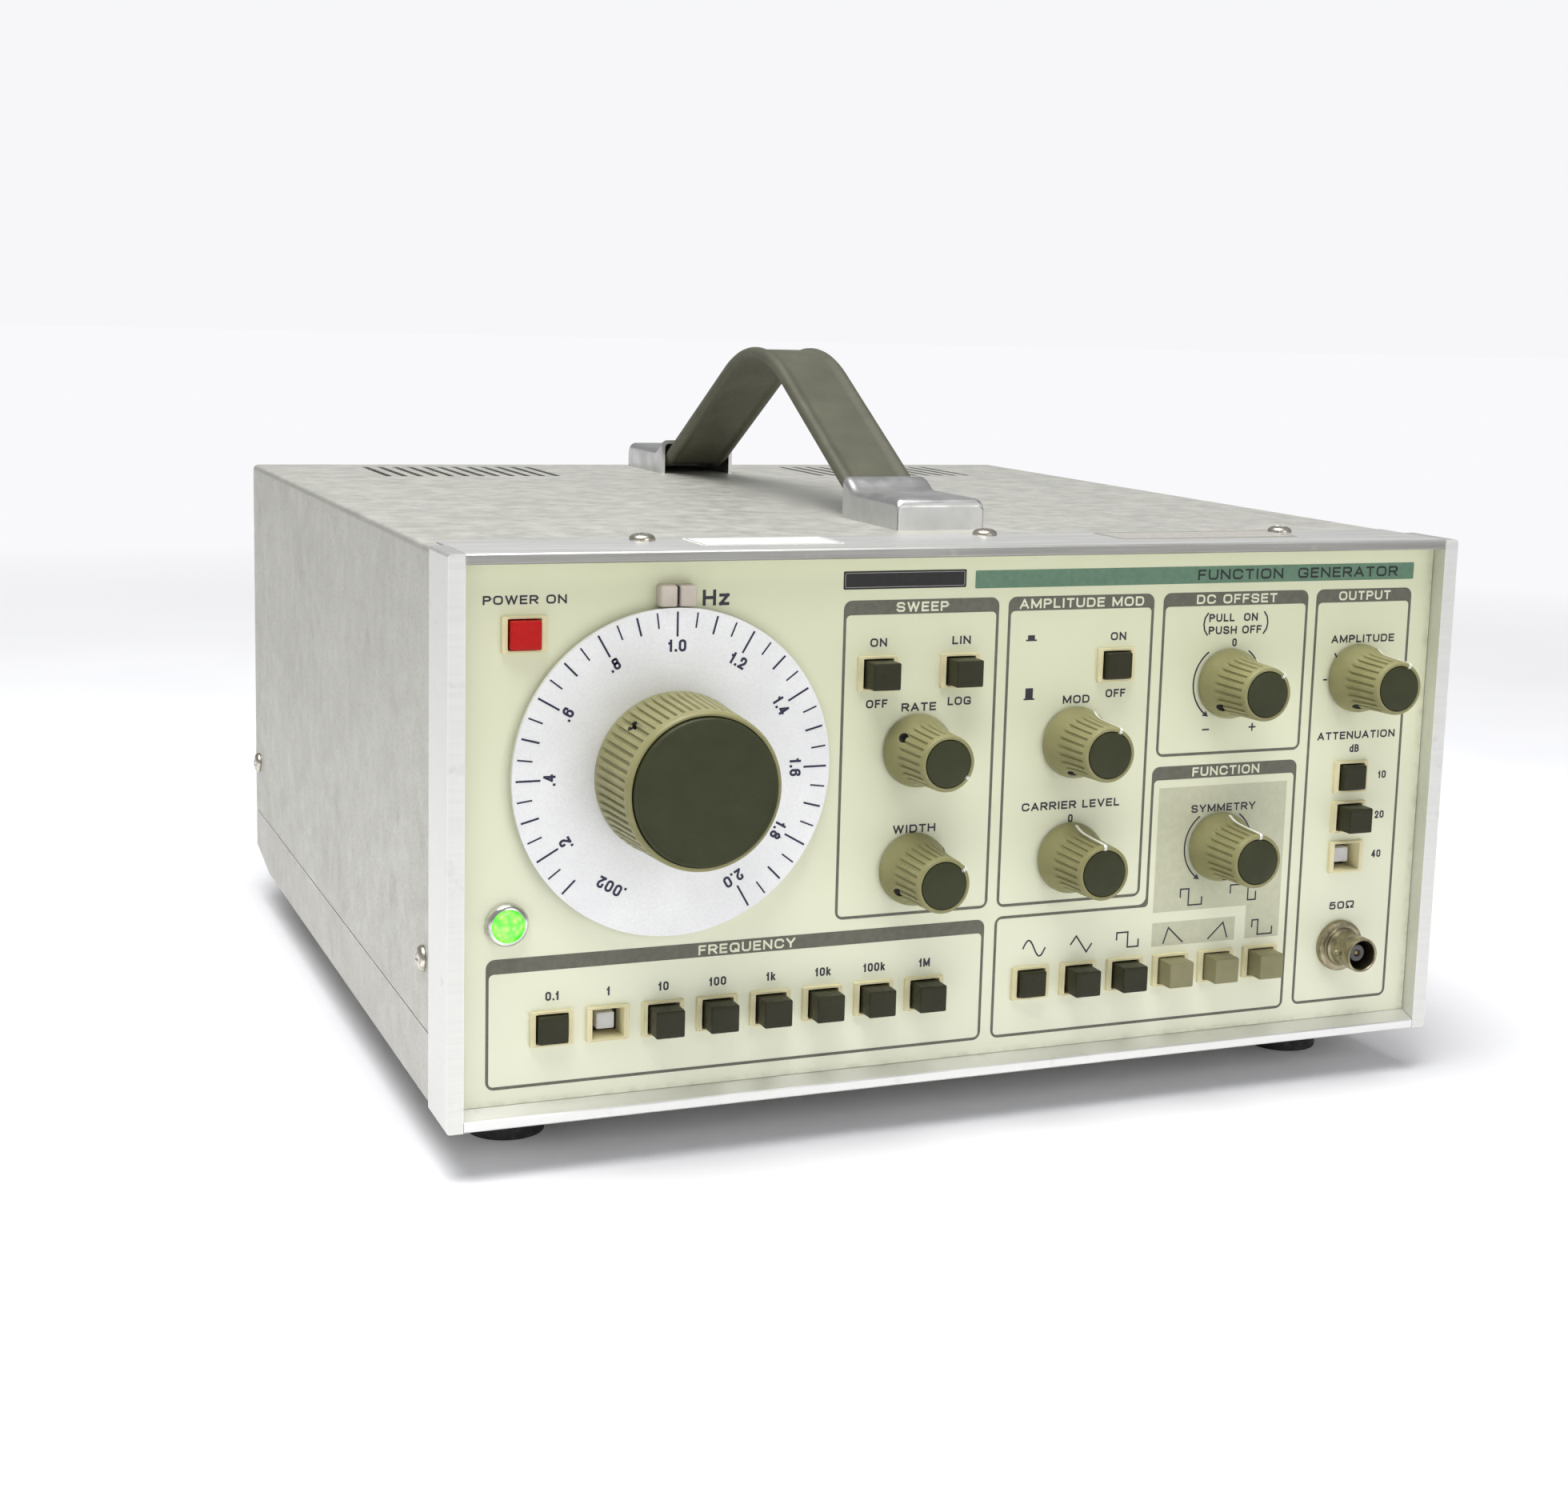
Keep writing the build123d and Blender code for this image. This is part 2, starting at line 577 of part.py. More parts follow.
DIAL_DISC_RADIUS = 40.8
DISC_BACK, DISC_FRONT = 1.6, 3.0
INDEX_SIZE = (9.2, 5.2)
index_height = DIAL_AT[1] + DIAL_DISC_RADIUS + 0.3 + INDEX_SIZE[1] / 2
with BuildPart() as dial_index:
    with BuildSketch(face_plane(DIAL_AT[0], index_height)):
        Rectangle(*INDEX_SIZE)
    extrude(amount=4.2)
    chamfer(dial_index.faces().sort_by(Axis.Y)[0].edges(), length=0.4)
save(dial_index.part, "dial_index")

# ================================================================ dial
DIAL_BASE_RADIUS, DIAL_FRONT_RADIUS, DIAL_CAP_RADIUS = 20.5, 19.25, 18.0
DIAL_CAP_SEAT = 24.0
with BuildPart() as dial_disc:
    with BuildSketch(face_plane(*DIAL_AT, out=DISC_BACK)):
        Circle(DIAL_DISC_RADIUS)
        Circle(DIAL_SHAFT_RADIUS + 0.1, mode=Mode.SUBTRACT)
    extrude(amount=DISC_FRONT - DISC_BACK)
save(dial_disc.part, "dial_disc")

with BuildPart() as dial_knob_body:
    with BuildSketch(turning_plane(*DIAL_AT)):
        with BuildLine():
            Polyline(
                (DIAL_SHAFT_RADIUS, DISC_FRONT),
                (DIAL_BASE_RADIUS, DISC_FRONT),
                (DIAL_BASE_RADIUS, DISC_FRONT + 3.0),
                (DIAL_FRONT_RADIUS + 0.2, DIAL_REACH - 2.2),
                (DIAL_FRONT_RADIUS - 0.8, DIAL_REACH - 1.2),
                (DIAL_CAP_RADIUS + 0.2, DIAL_REACH - 1.2),
                (DIAL_CAP_RADIUS + 0.2, DIAL_CAP_SEAT),
                (0, DIAL_CAP_SEAT),
                (0, 14.0),
                (DIAL_SHAFT_RADIUS, 14.0),
                close=True,
            )
        make_face()
    revolve(axis=front_axis(*DIAL_AT))
with BuildPart() as dial_shaft:
    with BuildSketch(face_plane(*DIAL_AT, out=-13.0)):
        Circle(DIAL_SHAFT_RADIUS - 0.02)
    extrude(amount=27.0)
save_group([dial_knob_body.part, dial_shaft.part], "dial_knob")

with BuildPart() as dial_knob_cap:
    with BuildSketch(face_plane(*DIAL_AT, out=DIAL_CAP_SEAT)):
        Circle(DIAL_CAP_RADIUS)
    extrude(amount=DIAL_REACH - DIAL_CAP_SEAT)
    fillet(dial_knob_cap.faces().sort_by(Axis.Y)[0].edges(), radius=0.5)
save(dial_knob_cap.part, "dial_knob_cap")

# ================================================================ control knobs
KNOB_BACK = 0.7
KNOB_SKIRT_FRONT = 3.0
KNOB_NOSE_RADIUS = 7.3
KNOB_CAP_SEAT = 18.6
KNOB_BORE_END = 12.0
POINTER_THICK = 0.8
PULL_CLEARANCE = 0.06
for name, (x, h, angle) in KNOBS.items():
    pulls = name == "dc_offset"
    bore = SHAFT_RADIUS + (PULL_CLEARANCE if pulls else 0.0)
    bore_end = KNOB_BORE_END + (0.3 if pulls else 0.0)
    with BuildPart() as knob:
        with BuildSketch(turning_plane(x, h)):
            with BuildLine():
                Polyline(
                    (bore, KNOB_BACK),
                    (KNOB_RADIUS, KNOB_BACK),
                    (KNOB_RADIUS, KNOB_SKIRT_FRONT - 1.0),
                    (KNOB_RADIUS - 1.0, KNOB_SKIRT_FRONT + 1.5),
                    (KNOB_RADIUS - 1.5, 9.0),
                    (KNOB_NOSE_RADIUS, KNOB_REACH - 0.6),
                    (KNOB_NOSE_RADIUS - 0.5, KNOB_REACH - 0.1),
                    (KNOB_CAP_RADIUS + 0.15, KNOB_REACH - 0.1),
                    (KNOB_CAP_RADIUS + 0.15, KNOB_CAP_SEAT),
                    (0, KNOB_CAP_SEAT),
                    (0, bore_end),
                    (bore, bore_end),
                    close=True,
                )
            make_face()
        revolve(axis=front_axis(x, h))
        # raised pointer down the flank
        with BuildSketch(turning_plane(x, h, angle)):
            with BuildLine():
                Polyline(
                    (KNOB_NOSE_RADIUS - 1.0, KNOB_BACK + 1.0),
                    (KNOB_RADIUS - 0.2, KNOB_BACK + 1.0),
                    (KNOB_RADIUS - 0.7, KNOB_SKIRT_FRONT + 2.0),
                    (KNOB_NOSE_RADIUS + 0.2, KNOB_REACH - 1.0),
                    (KNOB_NOSE_RADIUS - 0.6, KNOB_REACH - 1.0),
                    close=True,
                )
            make_face()
        extrude(amount=POINTER_THICK / 2, both=True)
    if pulls:
        save(knob.part, f"{name}_knob")
    else:
        with BuildPart() as knob_shaft:
            with BuildSketch(face_plane(x, h, out=-10.0)):
                Circle(SHAFT_RADIUS - 0.02)
            extrude(amount=10.0 + KNOB_BORE_END)
        save_group([knob.part, knob_shaft.part], f"{name}_knob")
    with BuildPart() as knob_cap:
        with BuildSketch(face_plane(x, h, out=KNOB_CAP_SEAT)):
            Circle(KNOB_CAP_RADIUS)
        extrude(amount=KNOB_REACH - KNOB_CAP_SEAT)
        fillet(knob_cap.faces().sort_by(Axis.Y)[0].edges(), radius=0.4)
    save(knob_cap.part, f"{name}_knob_cap")

# The DC offset control's shaft slides through its bush; the knob turns on the shaft.
offset_x, offset_h, _ = KNOBS["dc_offset"]
with BuildPart() as dc_offset_pull_shaft:
    with BuildSketch(face_plane(offset_x, offset_h, out=-20.0)):
        Circle(SHAFT_RADIUS)
    extrude(amount=20.0 + KNOB_BORE_END)
save(dc_offset_pull_shaft.part, "dc_offset_pull_shaft")

# ================================================================ push buttons
STEM_END = -31.0  # rear end of the plunger when the button is out
for name, (x, h, state) in BUTTONS.items():
    pushed = TRAVEL if state == IN else 0.0
    with BuildPart() as button:
        if state == BARE:
            face = PLUNGER_FACE
            with BuildSketch(face_plane(x, h, out=face)):
                Rectangle(*PLUNGER_HEAD)
            extrude(amount=-3.0)
        else:
            face = CAP_OUT - pushed
            with BuildSketch(face_plane(x, h, out=face)):
                Rectangle(CAP_WIDTH, CAP_TALL)
            extrude(amount=-CAP_LENGTH)
            fillet(button.faces().sort_by(Axis.Y)[0].edges(), radius=0.4)
        stem_end = STEM_END - pushed
        with BuildSketch(face_plane(x, h, out=stem_end)):
            Rectangle(PLUNGER_SIZE, PLUNGER_SIZE)
        extrude(amount=face - 1.0 - stem_end)
    save(button.part, name)


def switch_bank(names, tall=SWITCH_TALL, wide=12.0):
    """One bank's housing behind the named buttons, with a slot for each plunger."""
    places = [BUTTONS[name][:2] for name in names]
    low_x, high_x = min(p[0] for p in places), max(p[0] for p in places)
    low_h, high_h = min(p[1] for p in places), max(p[1] for p in places)
    middle = ((low_x + high_x) / 2, (low_h + high_h) / 2)
    with BuildPart() as bank:
        with BuildSketch(face_plane(*middle, out=SWITCH_FRONT)):
            Rectangle(high_x - low_x + wide, high_h - low_h + tall)
        extrude(amount=-SWITCH_LENGTH)
        with BuildSketch(face_plane(0, 0, out=SWITCH_FRONT)):
            with Locations(*places):
                Rectangle(PLUNGER_SIZE + 1.0, PLUNGER_SIZE + 1.0)
        extrude(amount=-SWITCH_LENGTH, mode=Mode.SUBTRACT)
    return bank.part


range_bank = [name for name in BUTTONS if name.startswith("range_")]
function_bank = [f"{label}_button" for label in FUNCTION_NAMES]
attenuator_bank = [name for name in BUTTONS if name.startswith("attenuator_")]
single_switches = [[name] for name in ("sweep_on_button", "sweep_linear_button", "modulation_on_button")]
banks = [switch_bank(names) for names in (range_bank, function_bank, attenuator_bank, *single_switches)]
save_group([*banks, switch_bank(["power_button"], tall=16.0, wide=16.0)], "switch_bodies")

# ================================================================ potentiometers
POT_FRONT = -(PANEL_THICK + 1.0)


def potentiometer(x, h, shaft_radius=SHAFT_RADIUS, body_radius=8.5, length=10.0):
    """A round potentiometer case with its bush, bored for a turning shaft."""
    with BuildPart() as pot:
        with BuildSketch(face_plane(x, h, out=POT_FRONT)):
            Circle(body_radius)
        extrude(amount=-length)
        with BuildSketch(face_plane(x, h, out=POT_FRONT)):
            Circle(shaft_radius + 1.0)
        extrude(amount=-POT_FRONT + 0.3)
        with BuildSketch(face_plane(x, h, out=1.0)):
            Circle(shaft_radius + RUNNING)
        extrude(amount=-(length + 12.0), mode=Mode.SUBTRACT)
    return pot.part


small_pots = [potentiometer(x, h) for x, h, _ in KNOBS.values()]
dial_pot = potentiometer(*DIAL_AT, DIAL_SHAFT_RADIUS, body_radius=14.0, length=14.0)
save_group([*small_pots, dial_pot], "potentiometers")

# ================================================================ circuit boards and transformer
BOARD_THICK = 1.6
MAIN_BOARD = (236.0, 190.0)
MAIN_BOARD_HEIGHT = 12.0
MAIN_BOARD_MIDDLE = 132.0
FRONT_BOARD_DEPTH = 46.0
SPACER_RADIUS = 3.0
board_spacers = GridLocations(MAIN_BOARD[0] - 16, MAIN_BOARD[1] - 16, 2, 2)
with BuildPart() as circuit_boards:
    with BuildSketch(Plane.XY.offset(height(MAIN_BOARD_HEIGHT))):
        with Locations((0, depth(MAIN_BOARD_MIDDLE))):
            Rectangle(*MAIN_BOARD)
    extrude(amount=BOARD_THICK)
    with BuildSketch(face_plane(0, 72.0, out=PANEL_RECESS - FRONT_BOARD_DEPTH)):
        with Locations((30.0, 0)):
            Rectangle(200.0, 110.0)
    extrude(amount=-BOARD_THICK)
with BuildPart() as spacers:
    with BuildSketch(Plane.XY.offset(height(COVER_BOTTOM + SHEET))):
        with Locations(*[loc.position + Vector(0, depth(MAIN_BOARD_MIDDLE), 0) for loc in board_spacers]):
            Circle(SPACER_RADIUS)
    extrude(amount=MAIN_BOARD_HEIGHT - COVER_BOTTOM - SHEET)
save_group([circuit_boards.part, spacers.part], "circuit_boards")

CORE = (66.0, 24.0, 55.0)
CORE_AT = (-66.0, 206.0)
core_bottom = MAIN_BOARD_HEIGHT + BOARD_THICK
with BuildPart() as power_transformer:
    with BuildSketch(Plane.XY.offset(height(core_bottom + 4.0))):
        with Locations((CORE_AT[0], depth(CORE_AT[1]))):
            Rectangle(CORE[0], CORE[1])
    extrude(amount=CORE[2])
    with BuildSketch(Plane.XY.offset(height(core_bottom + 10.0))):
        with Locations((CORE_AT[0], depth(CORE_AT[1]))):
            Rectangle(CORE[0] * 0.6, CORE[1] + 22.0)
    extrude(amount=CORE[2] - 12.0)
    with BuildSketch(Plane.XY.offset(height(core_bottom))):
        with Locations((CORE_AT[0], depth(CORE_AT[1]))):
            Rectangle(CORE[0] + 18.0, CORE[1])
    extrude(amount=4.0)
save(power_transformer.part, "power_transformer")

# ================================================================ feet
FOOT_TOP_RADIUS, FOOT_BASE_RADIUS = 11.0, 10.0
FOOT_PLACES = [(x, d) for x in (-118.0, 118.0) for d in (36.0, 244.0)]
with BuildPart() as base_feet:
    for x, d in FOOT_PLACES:
        with BuildSketch(Plane.XY):
            with Locations((x, depth(d))):
                Circle(FOOT_BASE_RADIUS)
        with BuildSketch(Plane.XY.offset(height(COVER_BOTTOM))):
            with Locations((x, depth(d))):
                Circle(FOOT_TOP_RADIUS)
        loft()
save(base_feet.part, "base_feet")

# ================================================================ cover screws
HEAD_HEIGHT = 1.8


def pan_screw(head_plane, shank):
    """A domed screw: its head stands on the plane, its shank runs back from it."""
    section = Plane(origin=head_plane.origin, x_dir=head_plane.x_dir, z_dir=head_plane.y_dir * -1)
    with BuildPart() as screw:
        with BuildSketch(section):
            with BuildLine():
                Polyline(
                    (0, HEAD_HEIGHT),
                    (0, -shank),
                    (SCREW_SHANK_RADIUS - 0.1, -shank),
                    (SCREW_SHANK_RADIUS - 0.1, 0),
                    (SCREW_HEAD_RADIUS, 0),
                    (SCREW_HEAD_RADIUS, 0.5),
                )
                ThreePointArc(
                    (SCREW_HEAD_RADIUS, 0.5),
                    dome_point(SCREW_HEAD_RADIUS, 0.5, HEAD_HEIGHT),
                    (0, HEAD_HEIGHT),
                )
            make_face()
        revolve(axis=Axis(head_plane.origin, head_plane.z_dir))
    return screw.part


top_screw_planes = [Plane(origin=(x, depth(d), height(FRAME_HEIGHT))) for x, d in TOP_SCREWS]
top_screws = [pan_screw(plane, shank=5.0) for plane in top_screw_planes]
side_screws = [pan_screw(plane, shank=4.0) for plane in cover_screw_planes()]
save_group([*top_screws, *side_screws], "cover_screws")

# ================================================================ handle
# End caps: pressed shells, open below and at the mouth, where the roof flares up.
CAP_WALL = 1.2
CAP_ROOF = 8.4
MOUTH_RISE = 11.6
outer_profile = (
    (0, 0),
    (0, CAP_ROOF - 1.6),
    (1.6, CAP_ROOF),
    (CAP_BOX_LENGTH - 7.0, CAP_ROOF),
    (CAP_BOX_LENGTH - 3.5, MOUTH_RISE - 0.4),
    (CAP_BOX_LENGTH, MOUTH_RISE),
    (CAP_BOX_LENGTH, 0),
)
inner_profile = (
    (CAP_WALL, 0),
    (CAP_WALL, CAP_ROOF - 2.4),
    (CAP_WALL + 1.2, CAP_ROOF - CAP_WALL),
    (CAP_BOX_LENGTH - 6.6, CAP_ROOF - CAP_WALL),
    (CAP_BOX_LENGTH - 3.2, MOUTH_RISE - 1.6),
    (CAP_BOX_LENGTH, MOUTH_RISE - CAP_WALL),
    (CAP_BOX_LENGTH, 0),
)


def cap_plane(side, half):
    """A side-view plane at one end cap, `half` from its middle: local X runs towards the mouth."""
    start = HANDLE_FRONT if side > 0 else HANDLE_BACK
    origin = (HANDLE_X - side * half, depth(start), height(COVER_TOP))
    return Plane(origin=origin, x_dir=(0, side, 0), z_dir=(side, 0, 0))


with BuildPart() as handle_end_caps:
    for side in (1, -1):
        with BuildSketch(cap_plane(side, CAP_BOX_WIDTH / 2)):
            with BuildLine():
                Polyline(*outer_profile, close=True)
            make_face()
        extrude(amount=CAP_BOX_WIDTH)
        inner_half = CAP_BOX_WIDTH / 2 - CAP_WALL
        with BuildSketch(cap_plane(side, inner_half)):
            with BuildLine():
                Polyline(*inner_profile, close=True)
            make_face()
        extrude(amount=2 * inner_half, mode=Mode.SUBTRACT)
save(handle_end_caps.part, "handle_end_caps")

strap_z = height(COVER_TOP + STRAP_BASE)
strap_start = HANDLE_FRONT + 10.0
strap_end = HANDLE_BACK - 10.0
leg_start = HANDLE_FRONT + CAP_BOX_LENGTH - 4.0
leg_end = HANDLE_BACK - CAP_BOX_LENGTH + 4.0
strap_middle = (leg_start + leg_end) / 2
with BuildPart() as handle_strap:
    with BuildLine() as strap_line:
        FilletPolyline(
            (HANDLE_X, depth(strap_start), strap_z),
            (HANDLE_X, depth(leg_start), strap_z),
            (HANDLE_X, depth(strap_middle), strap_z + STRAP_RISE),
            (HANDLE_X, depth(leg_end), strap_z),
            (HANDLE_X, depth(strap_end), strap_z),
            radius=(12.0, 50.0, 12.0),
        )
    with BuildSketch(Plane(origin=strap_line.line @ 0, x_dir=(1, 0, 0), z_dir=(0, 1, 0))):
        RectangleRounded(STRAP_WIDTH, STRAP_THICK, 1.2)
    sweep()
save(handle_strap.part, "handle_strap")
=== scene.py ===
"""The looks of a bench function generator, built around its CAD model.

Lengths are in millimetres and are turned into metres when a piece is made. On the front panel a place is
(x, h): x to the right of the middle, and h above the underside of the frame. `out` is the distance in front
of the surface that a piece stands on.
"""

import math
import random

import bmesh
import bpy
from mathutils import Matrix, Vector


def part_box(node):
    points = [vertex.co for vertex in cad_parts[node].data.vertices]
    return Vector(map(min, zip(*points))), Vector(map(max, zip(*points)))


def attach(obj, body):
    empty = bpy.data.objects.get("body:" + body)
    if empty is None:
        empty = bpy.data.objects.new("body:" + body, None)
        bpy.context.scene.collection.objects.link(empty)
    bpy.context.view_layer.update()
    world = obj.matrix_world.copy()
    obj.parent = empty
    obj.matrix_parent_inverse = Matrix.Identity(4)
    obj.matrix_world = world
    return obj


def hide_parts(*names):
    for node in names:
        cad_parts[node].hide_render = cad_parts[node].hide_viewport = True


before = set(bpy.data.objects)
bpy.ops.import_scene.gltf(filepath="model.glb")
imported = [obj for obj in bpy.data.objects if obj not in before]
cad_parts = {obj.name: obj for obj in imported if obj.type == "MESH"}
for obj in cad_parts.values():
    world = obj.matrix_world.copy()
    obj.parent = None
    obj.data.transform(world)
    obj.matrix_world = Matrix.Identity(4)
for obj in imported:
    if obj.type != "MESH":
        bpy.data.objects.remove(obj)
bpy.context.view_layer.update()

MM = 0.001
random.seed(7)


# ---------------------------------------------------------------- places
def corners(node):
    """A node's lowest and highest corners in millimetres."""
    low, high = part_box(node)
    return low / MM, high / MM


FRAME_LOW, FRAME_HIGH = corners("frame_side_rails")
BASE = FRAME_LOW.z
FRONT = FRAME_LOW.y
PANEL_FACE = corners("front_panel")[0].y
REAR_FACE = corners("rear_panel")[1].y
COVER_TOP = corners("top_cover")[1].z
COVER_SIDE = corners("top_cover")[1].x
RAIL_TOP = FRAME_HIGH.z


def surface(origin, across, up):
    """The matrix of a surface: local X runs across it, Y up it and Z out of it."""
    across, up = Vector(across), Vector(up)
    turn = Matrix((across, up, across.cross(up))).transposed().to_4x4()
    return Matrix.Translation(Vector(origin)) @ turn


def on_panel(x, h, out=0.0):
    return surface((x, PANEL_FACE - out, BASE + h), (1, 0, 0), (0, 0, 1))


def on_rear(x, h):
    return surface((x, REAR_FACE, BASE + h), (-1, 0, 0), (0, 0, 1))


def on_top(x, depth):
    return surface((x, FRONT + depth, RAIL_TOP), (1, 0, 0), (0, 1, 0))


def on_side(side, depth, h):
    return surface((side * COVER_SIDE, FRONT + depth, BASE + h), (0, side, 0), (0, 0, 1))


def panel_centre(node):
    """Where the middle of a node is on the panel."""
    low, high = corners(node)
    return (low.x + high.x) / 2, (low.z + high.z) / 2 - BASE


def at_node(node):
    """The panel's surface at the middle of a node."""
    return on_panel(*panel_centre(node))


def reach(node):
    """How far a node stands out of the panel."""
    return PANEL_FACE - corners(node)[0].y


def radius_of(node):
    low, high = corners(node)
    return (high.x - low.x) / 2


def turned(degrees):
    """A turn in a surface, clockwise as seen from in front of it."""
    return Matrix.Rotation(math.radians(-degrees), 4, "Z")


def linked(name, data):
    """A new object in the scene."""
    made = bpy.data.objects.new(name, data)
    bpy.context.scene.collection.objects.link(made)
    return made


DIAL_AT = panel_centre("dial_knob_cap")
KNOBS = {  # each pointer's angle, clockwise from straight up
    "sweep_rate": 125,
    "sweep_width": 55,
    "modulation": 25,
    "carrier_level": 0,
    "dc_offset": 45,
    "symmetry": 5,
    "amplitude": 27,
}
BUTTON_NODES = sorted(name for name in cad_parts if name.endswith("_button"))
PLUNGER_NODES = sorted(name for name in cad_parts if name.endswith("_plunger"))


# ---------------------------------------------------------------- materials
def tone(red, green, blue):
    """A screen colour, 0 to 255 each, as the linear colour that a shader takes."""
    parts = [part / 255 for part in (red, green, blue)]
    linear = [p / 12.92 if p <= 0.04045 else ((p + 0.055) / 1.055) ** 2.4 for p in parts]
    return (*linear, 1.0)


def shifted(colour, by):
    """A colour made lighter or darker by a number of screen steps."""
    return tone(*[min(255, max(0, channel + by)) for channel in colour])


class Finish:
    """A material being put together: its nodes and its shader."""

    def __init__(self, name, **constants):
        self.material = bpy.data.materials.new(name)
        self.material.use_nodes = True
        self.tree = self.material.node_tree
        self.shader = self.tree.nodes["Principled BSDF"]
        self.places = self.node("TexCoord").outputs["Object"]
        for name, value in constants.items():
            self.shader.inputs[name.replace("_", " ")].default_value = value

    def node(self, kind, inputs=(), **settings):
        node = self.tree.nodes.new("ShaderNode" + kind)
        for name, value in settings.items():
            setattr(node, name, value)
        for name, value in dict(inputs).items():
            if isinstance(value, bpy.types.NodeSocket):
                self.tree.links.new(value, node.inputs[name])
            else:
                node.inputs[name].default_value = value
        return node

    def noise(self, size, detail=3.0, stretch=(1, 1, 1), rough=0.55):
        """Noise from 0 to 1, with lumps about `size` millimetres across."""
        mapping = self.node("Mapping", {"Vector": self.places, "Scale": stretch})
        inputs = {
            "Vector": mapping.outputs[0],
            "Scale": 1 / (size * MM),
            "Detail": detail,
            "Roughness": rough,
        }
        return self.node("TexNoise", inputs).outputs["Fac"]

    def cells(self, size):
        """How far it is to the middle of the nearest of small cells."""
        inputs = {"Vector": self.places, "Scale": 1 / (size * MM)}
        return self.node("TexVoronoi", inputs).outputs["Distance"]

    def cloud(self, size, detail, low=0.3, high=0.7, to_low=0.0, to_high=1.0, **kind):
        """Noise spread over a range of its own."""
        return self.between(self.noise(size, detail, **kind), low, high, to_low, to_high)

    def between(self, value, low, high, to_low=0.0, to_high=1.0):
        """A value spread from one range to another, and held inside it."""
        inputs = {"Value": value, "From Min": low, "From Max": high, "To Min": to_low, "To Max": to_high}
        return self.node("MapRange", inputs).outputs["Result"]

    def times(self, a, b):
        return self.node("Math", {0: a, 1: b}, operation="MULTIPLY").outputs[0]

    def plus(self, a, b):
        return self.node("Math", {0: a, 1: b}, operation="ADD").outputs[0]

    def mix(self, amount, a, b):
        """Colour a where the amount is 0 and b where it is 1."""
        return self.node("Mix", {0: amount, 6: a, 7: b}, data_type="RGBA").outputs[2]

    def along(self, axis):
        """The place along X, Y or Z in metres."""
        return self.node("SeparateXYZ", {0: self.places}).outputs[axis]

    def facing(self, axis):
        """How far the surface faces along X, Y or Z, from -1 to 1."""
        normal = self.node("NewGeometry").outputs["Normal"]
        return self.node("SeparateXYZ", {0: normal}).outputs[axis]

    def set(self, socket, value):
        self.tree.links.new(value, self.shader.inputs[socket])

    def paint(self, colour):
        self.set("Base Color", colour)

    def gloss(self, value):
        self.set("Roughness", value)

    def bump(self, height, millimetres, strength=1.0):
        inputs = {"Height": height, "Distance": millimetres * MM, "Strength": strength}
        self.set("Normal", self.node("Bump", inputs).outputs["Normal"])

    def edges(self, radius):
        """About 1 along edges and 0 on flat stretches, for wear and for painted edge highlights."""
        rounded = self.node("Bevel", {"Radius": radius * MM}, samples=4).outputs["Normal"]
        true = self.node("NewGeometry").outputs["Normal"]
        dot = self.node("VectorMath", {0: rounded, 1: true}, operation="DOT_PRODUCT").outputs["Value"]
        return self.between(dot, 0.98, 0.7)


def moulded_plastic(name, colour, spread, rough, wear=0.0, grain=0.012):
    """Moulded plastic: fine pitting, faint cloudy colour and, if asked, paler rubbed edges."""
    finish = Finish(name, Metallic=0.0, IOR=1.4, Specular_IOR_Level=0.35)
    shade = finish.mix(finish.cloud(9, 4), shifted(colour, -spread), shifted(colour, spread))
    if wear:
        scuffs = finish.times(finish.edges(0.35), finish.cloud(2.5, 3, 0.4, 0.75, 0.1, wear))
        shade = finish.mix(scuffs, shade, shifted(colour, 60))
    finish.paint(shade)
    finish.gloss(finish.cloud(1.4, 4, to_low=rough - 0.08, to_high=rough + 0.12))
    finish.bump(finish.noise(0.25, 2), grain)
    return finish.material


def screen_ink(name, colour, spread=6):
    """Printed ink, slightly uneven in strength."""
    finish = Finish(name, Metallic=0.0)
    finish.paint(finish.mix(finish.cloud(1.6, 4), shifted(colour, -spread), shifted(colour, spread)))
    finish.gloss(finish.cloud(0.6, 3, to_low=0.45, to_high=0.6))
    return finish.material


def panel_enamel():
    """Cream-green enamel with painted light (lighter low down, darker and yellower towards the top), and
    brown grime low down and beside the right rail.
    """
    finish = Finish("panel_enamel", Metallic=0.0, IOR=1.48)
    # painted light: lighter low down where light bounces up from the floor, darker towards the top as
    # painted shade under the top rail
    height = finish.between(finish.along("Z"), (BASE + 10) * MM, (BASE + 130) * MM)
    base = finish.mix(height, tone(233, 235, 212), tone(219, 222, 188))
    base = finish.mix(finish.cloud(30, 4, 0.35, 0.7, 0.0, 0.35), base, tone(226, 226, 198))
    low = finish.between(finish.along("Z"), (BASE + 6.0) * MM, (BASE + 4.2) * MM)
    right = finish.between(finish.along("X"), 135.2 * MM, 137.6 * MM)
    edge = finish.plus(low, right)
    grime = finish.times(edge, finish.cloud(3.2, 6, 0.42, 0.7, 0.0, 0.35))
    base = finish.mix(grime, base, tone(150, 138, 104))
    speck = finish.cloud(1.1, 2, 0.8, 0.84, 0.0, 0.6)
    finish.paint(finish.mix(speck, base, tone(152, 132, 100)))
    finish.gloss(finish.cloud(7, 5, to_low=0.36, to_high=0.5))
    finish.bump(finish.noise(0.5, 3), 0.006)
    return finish.material


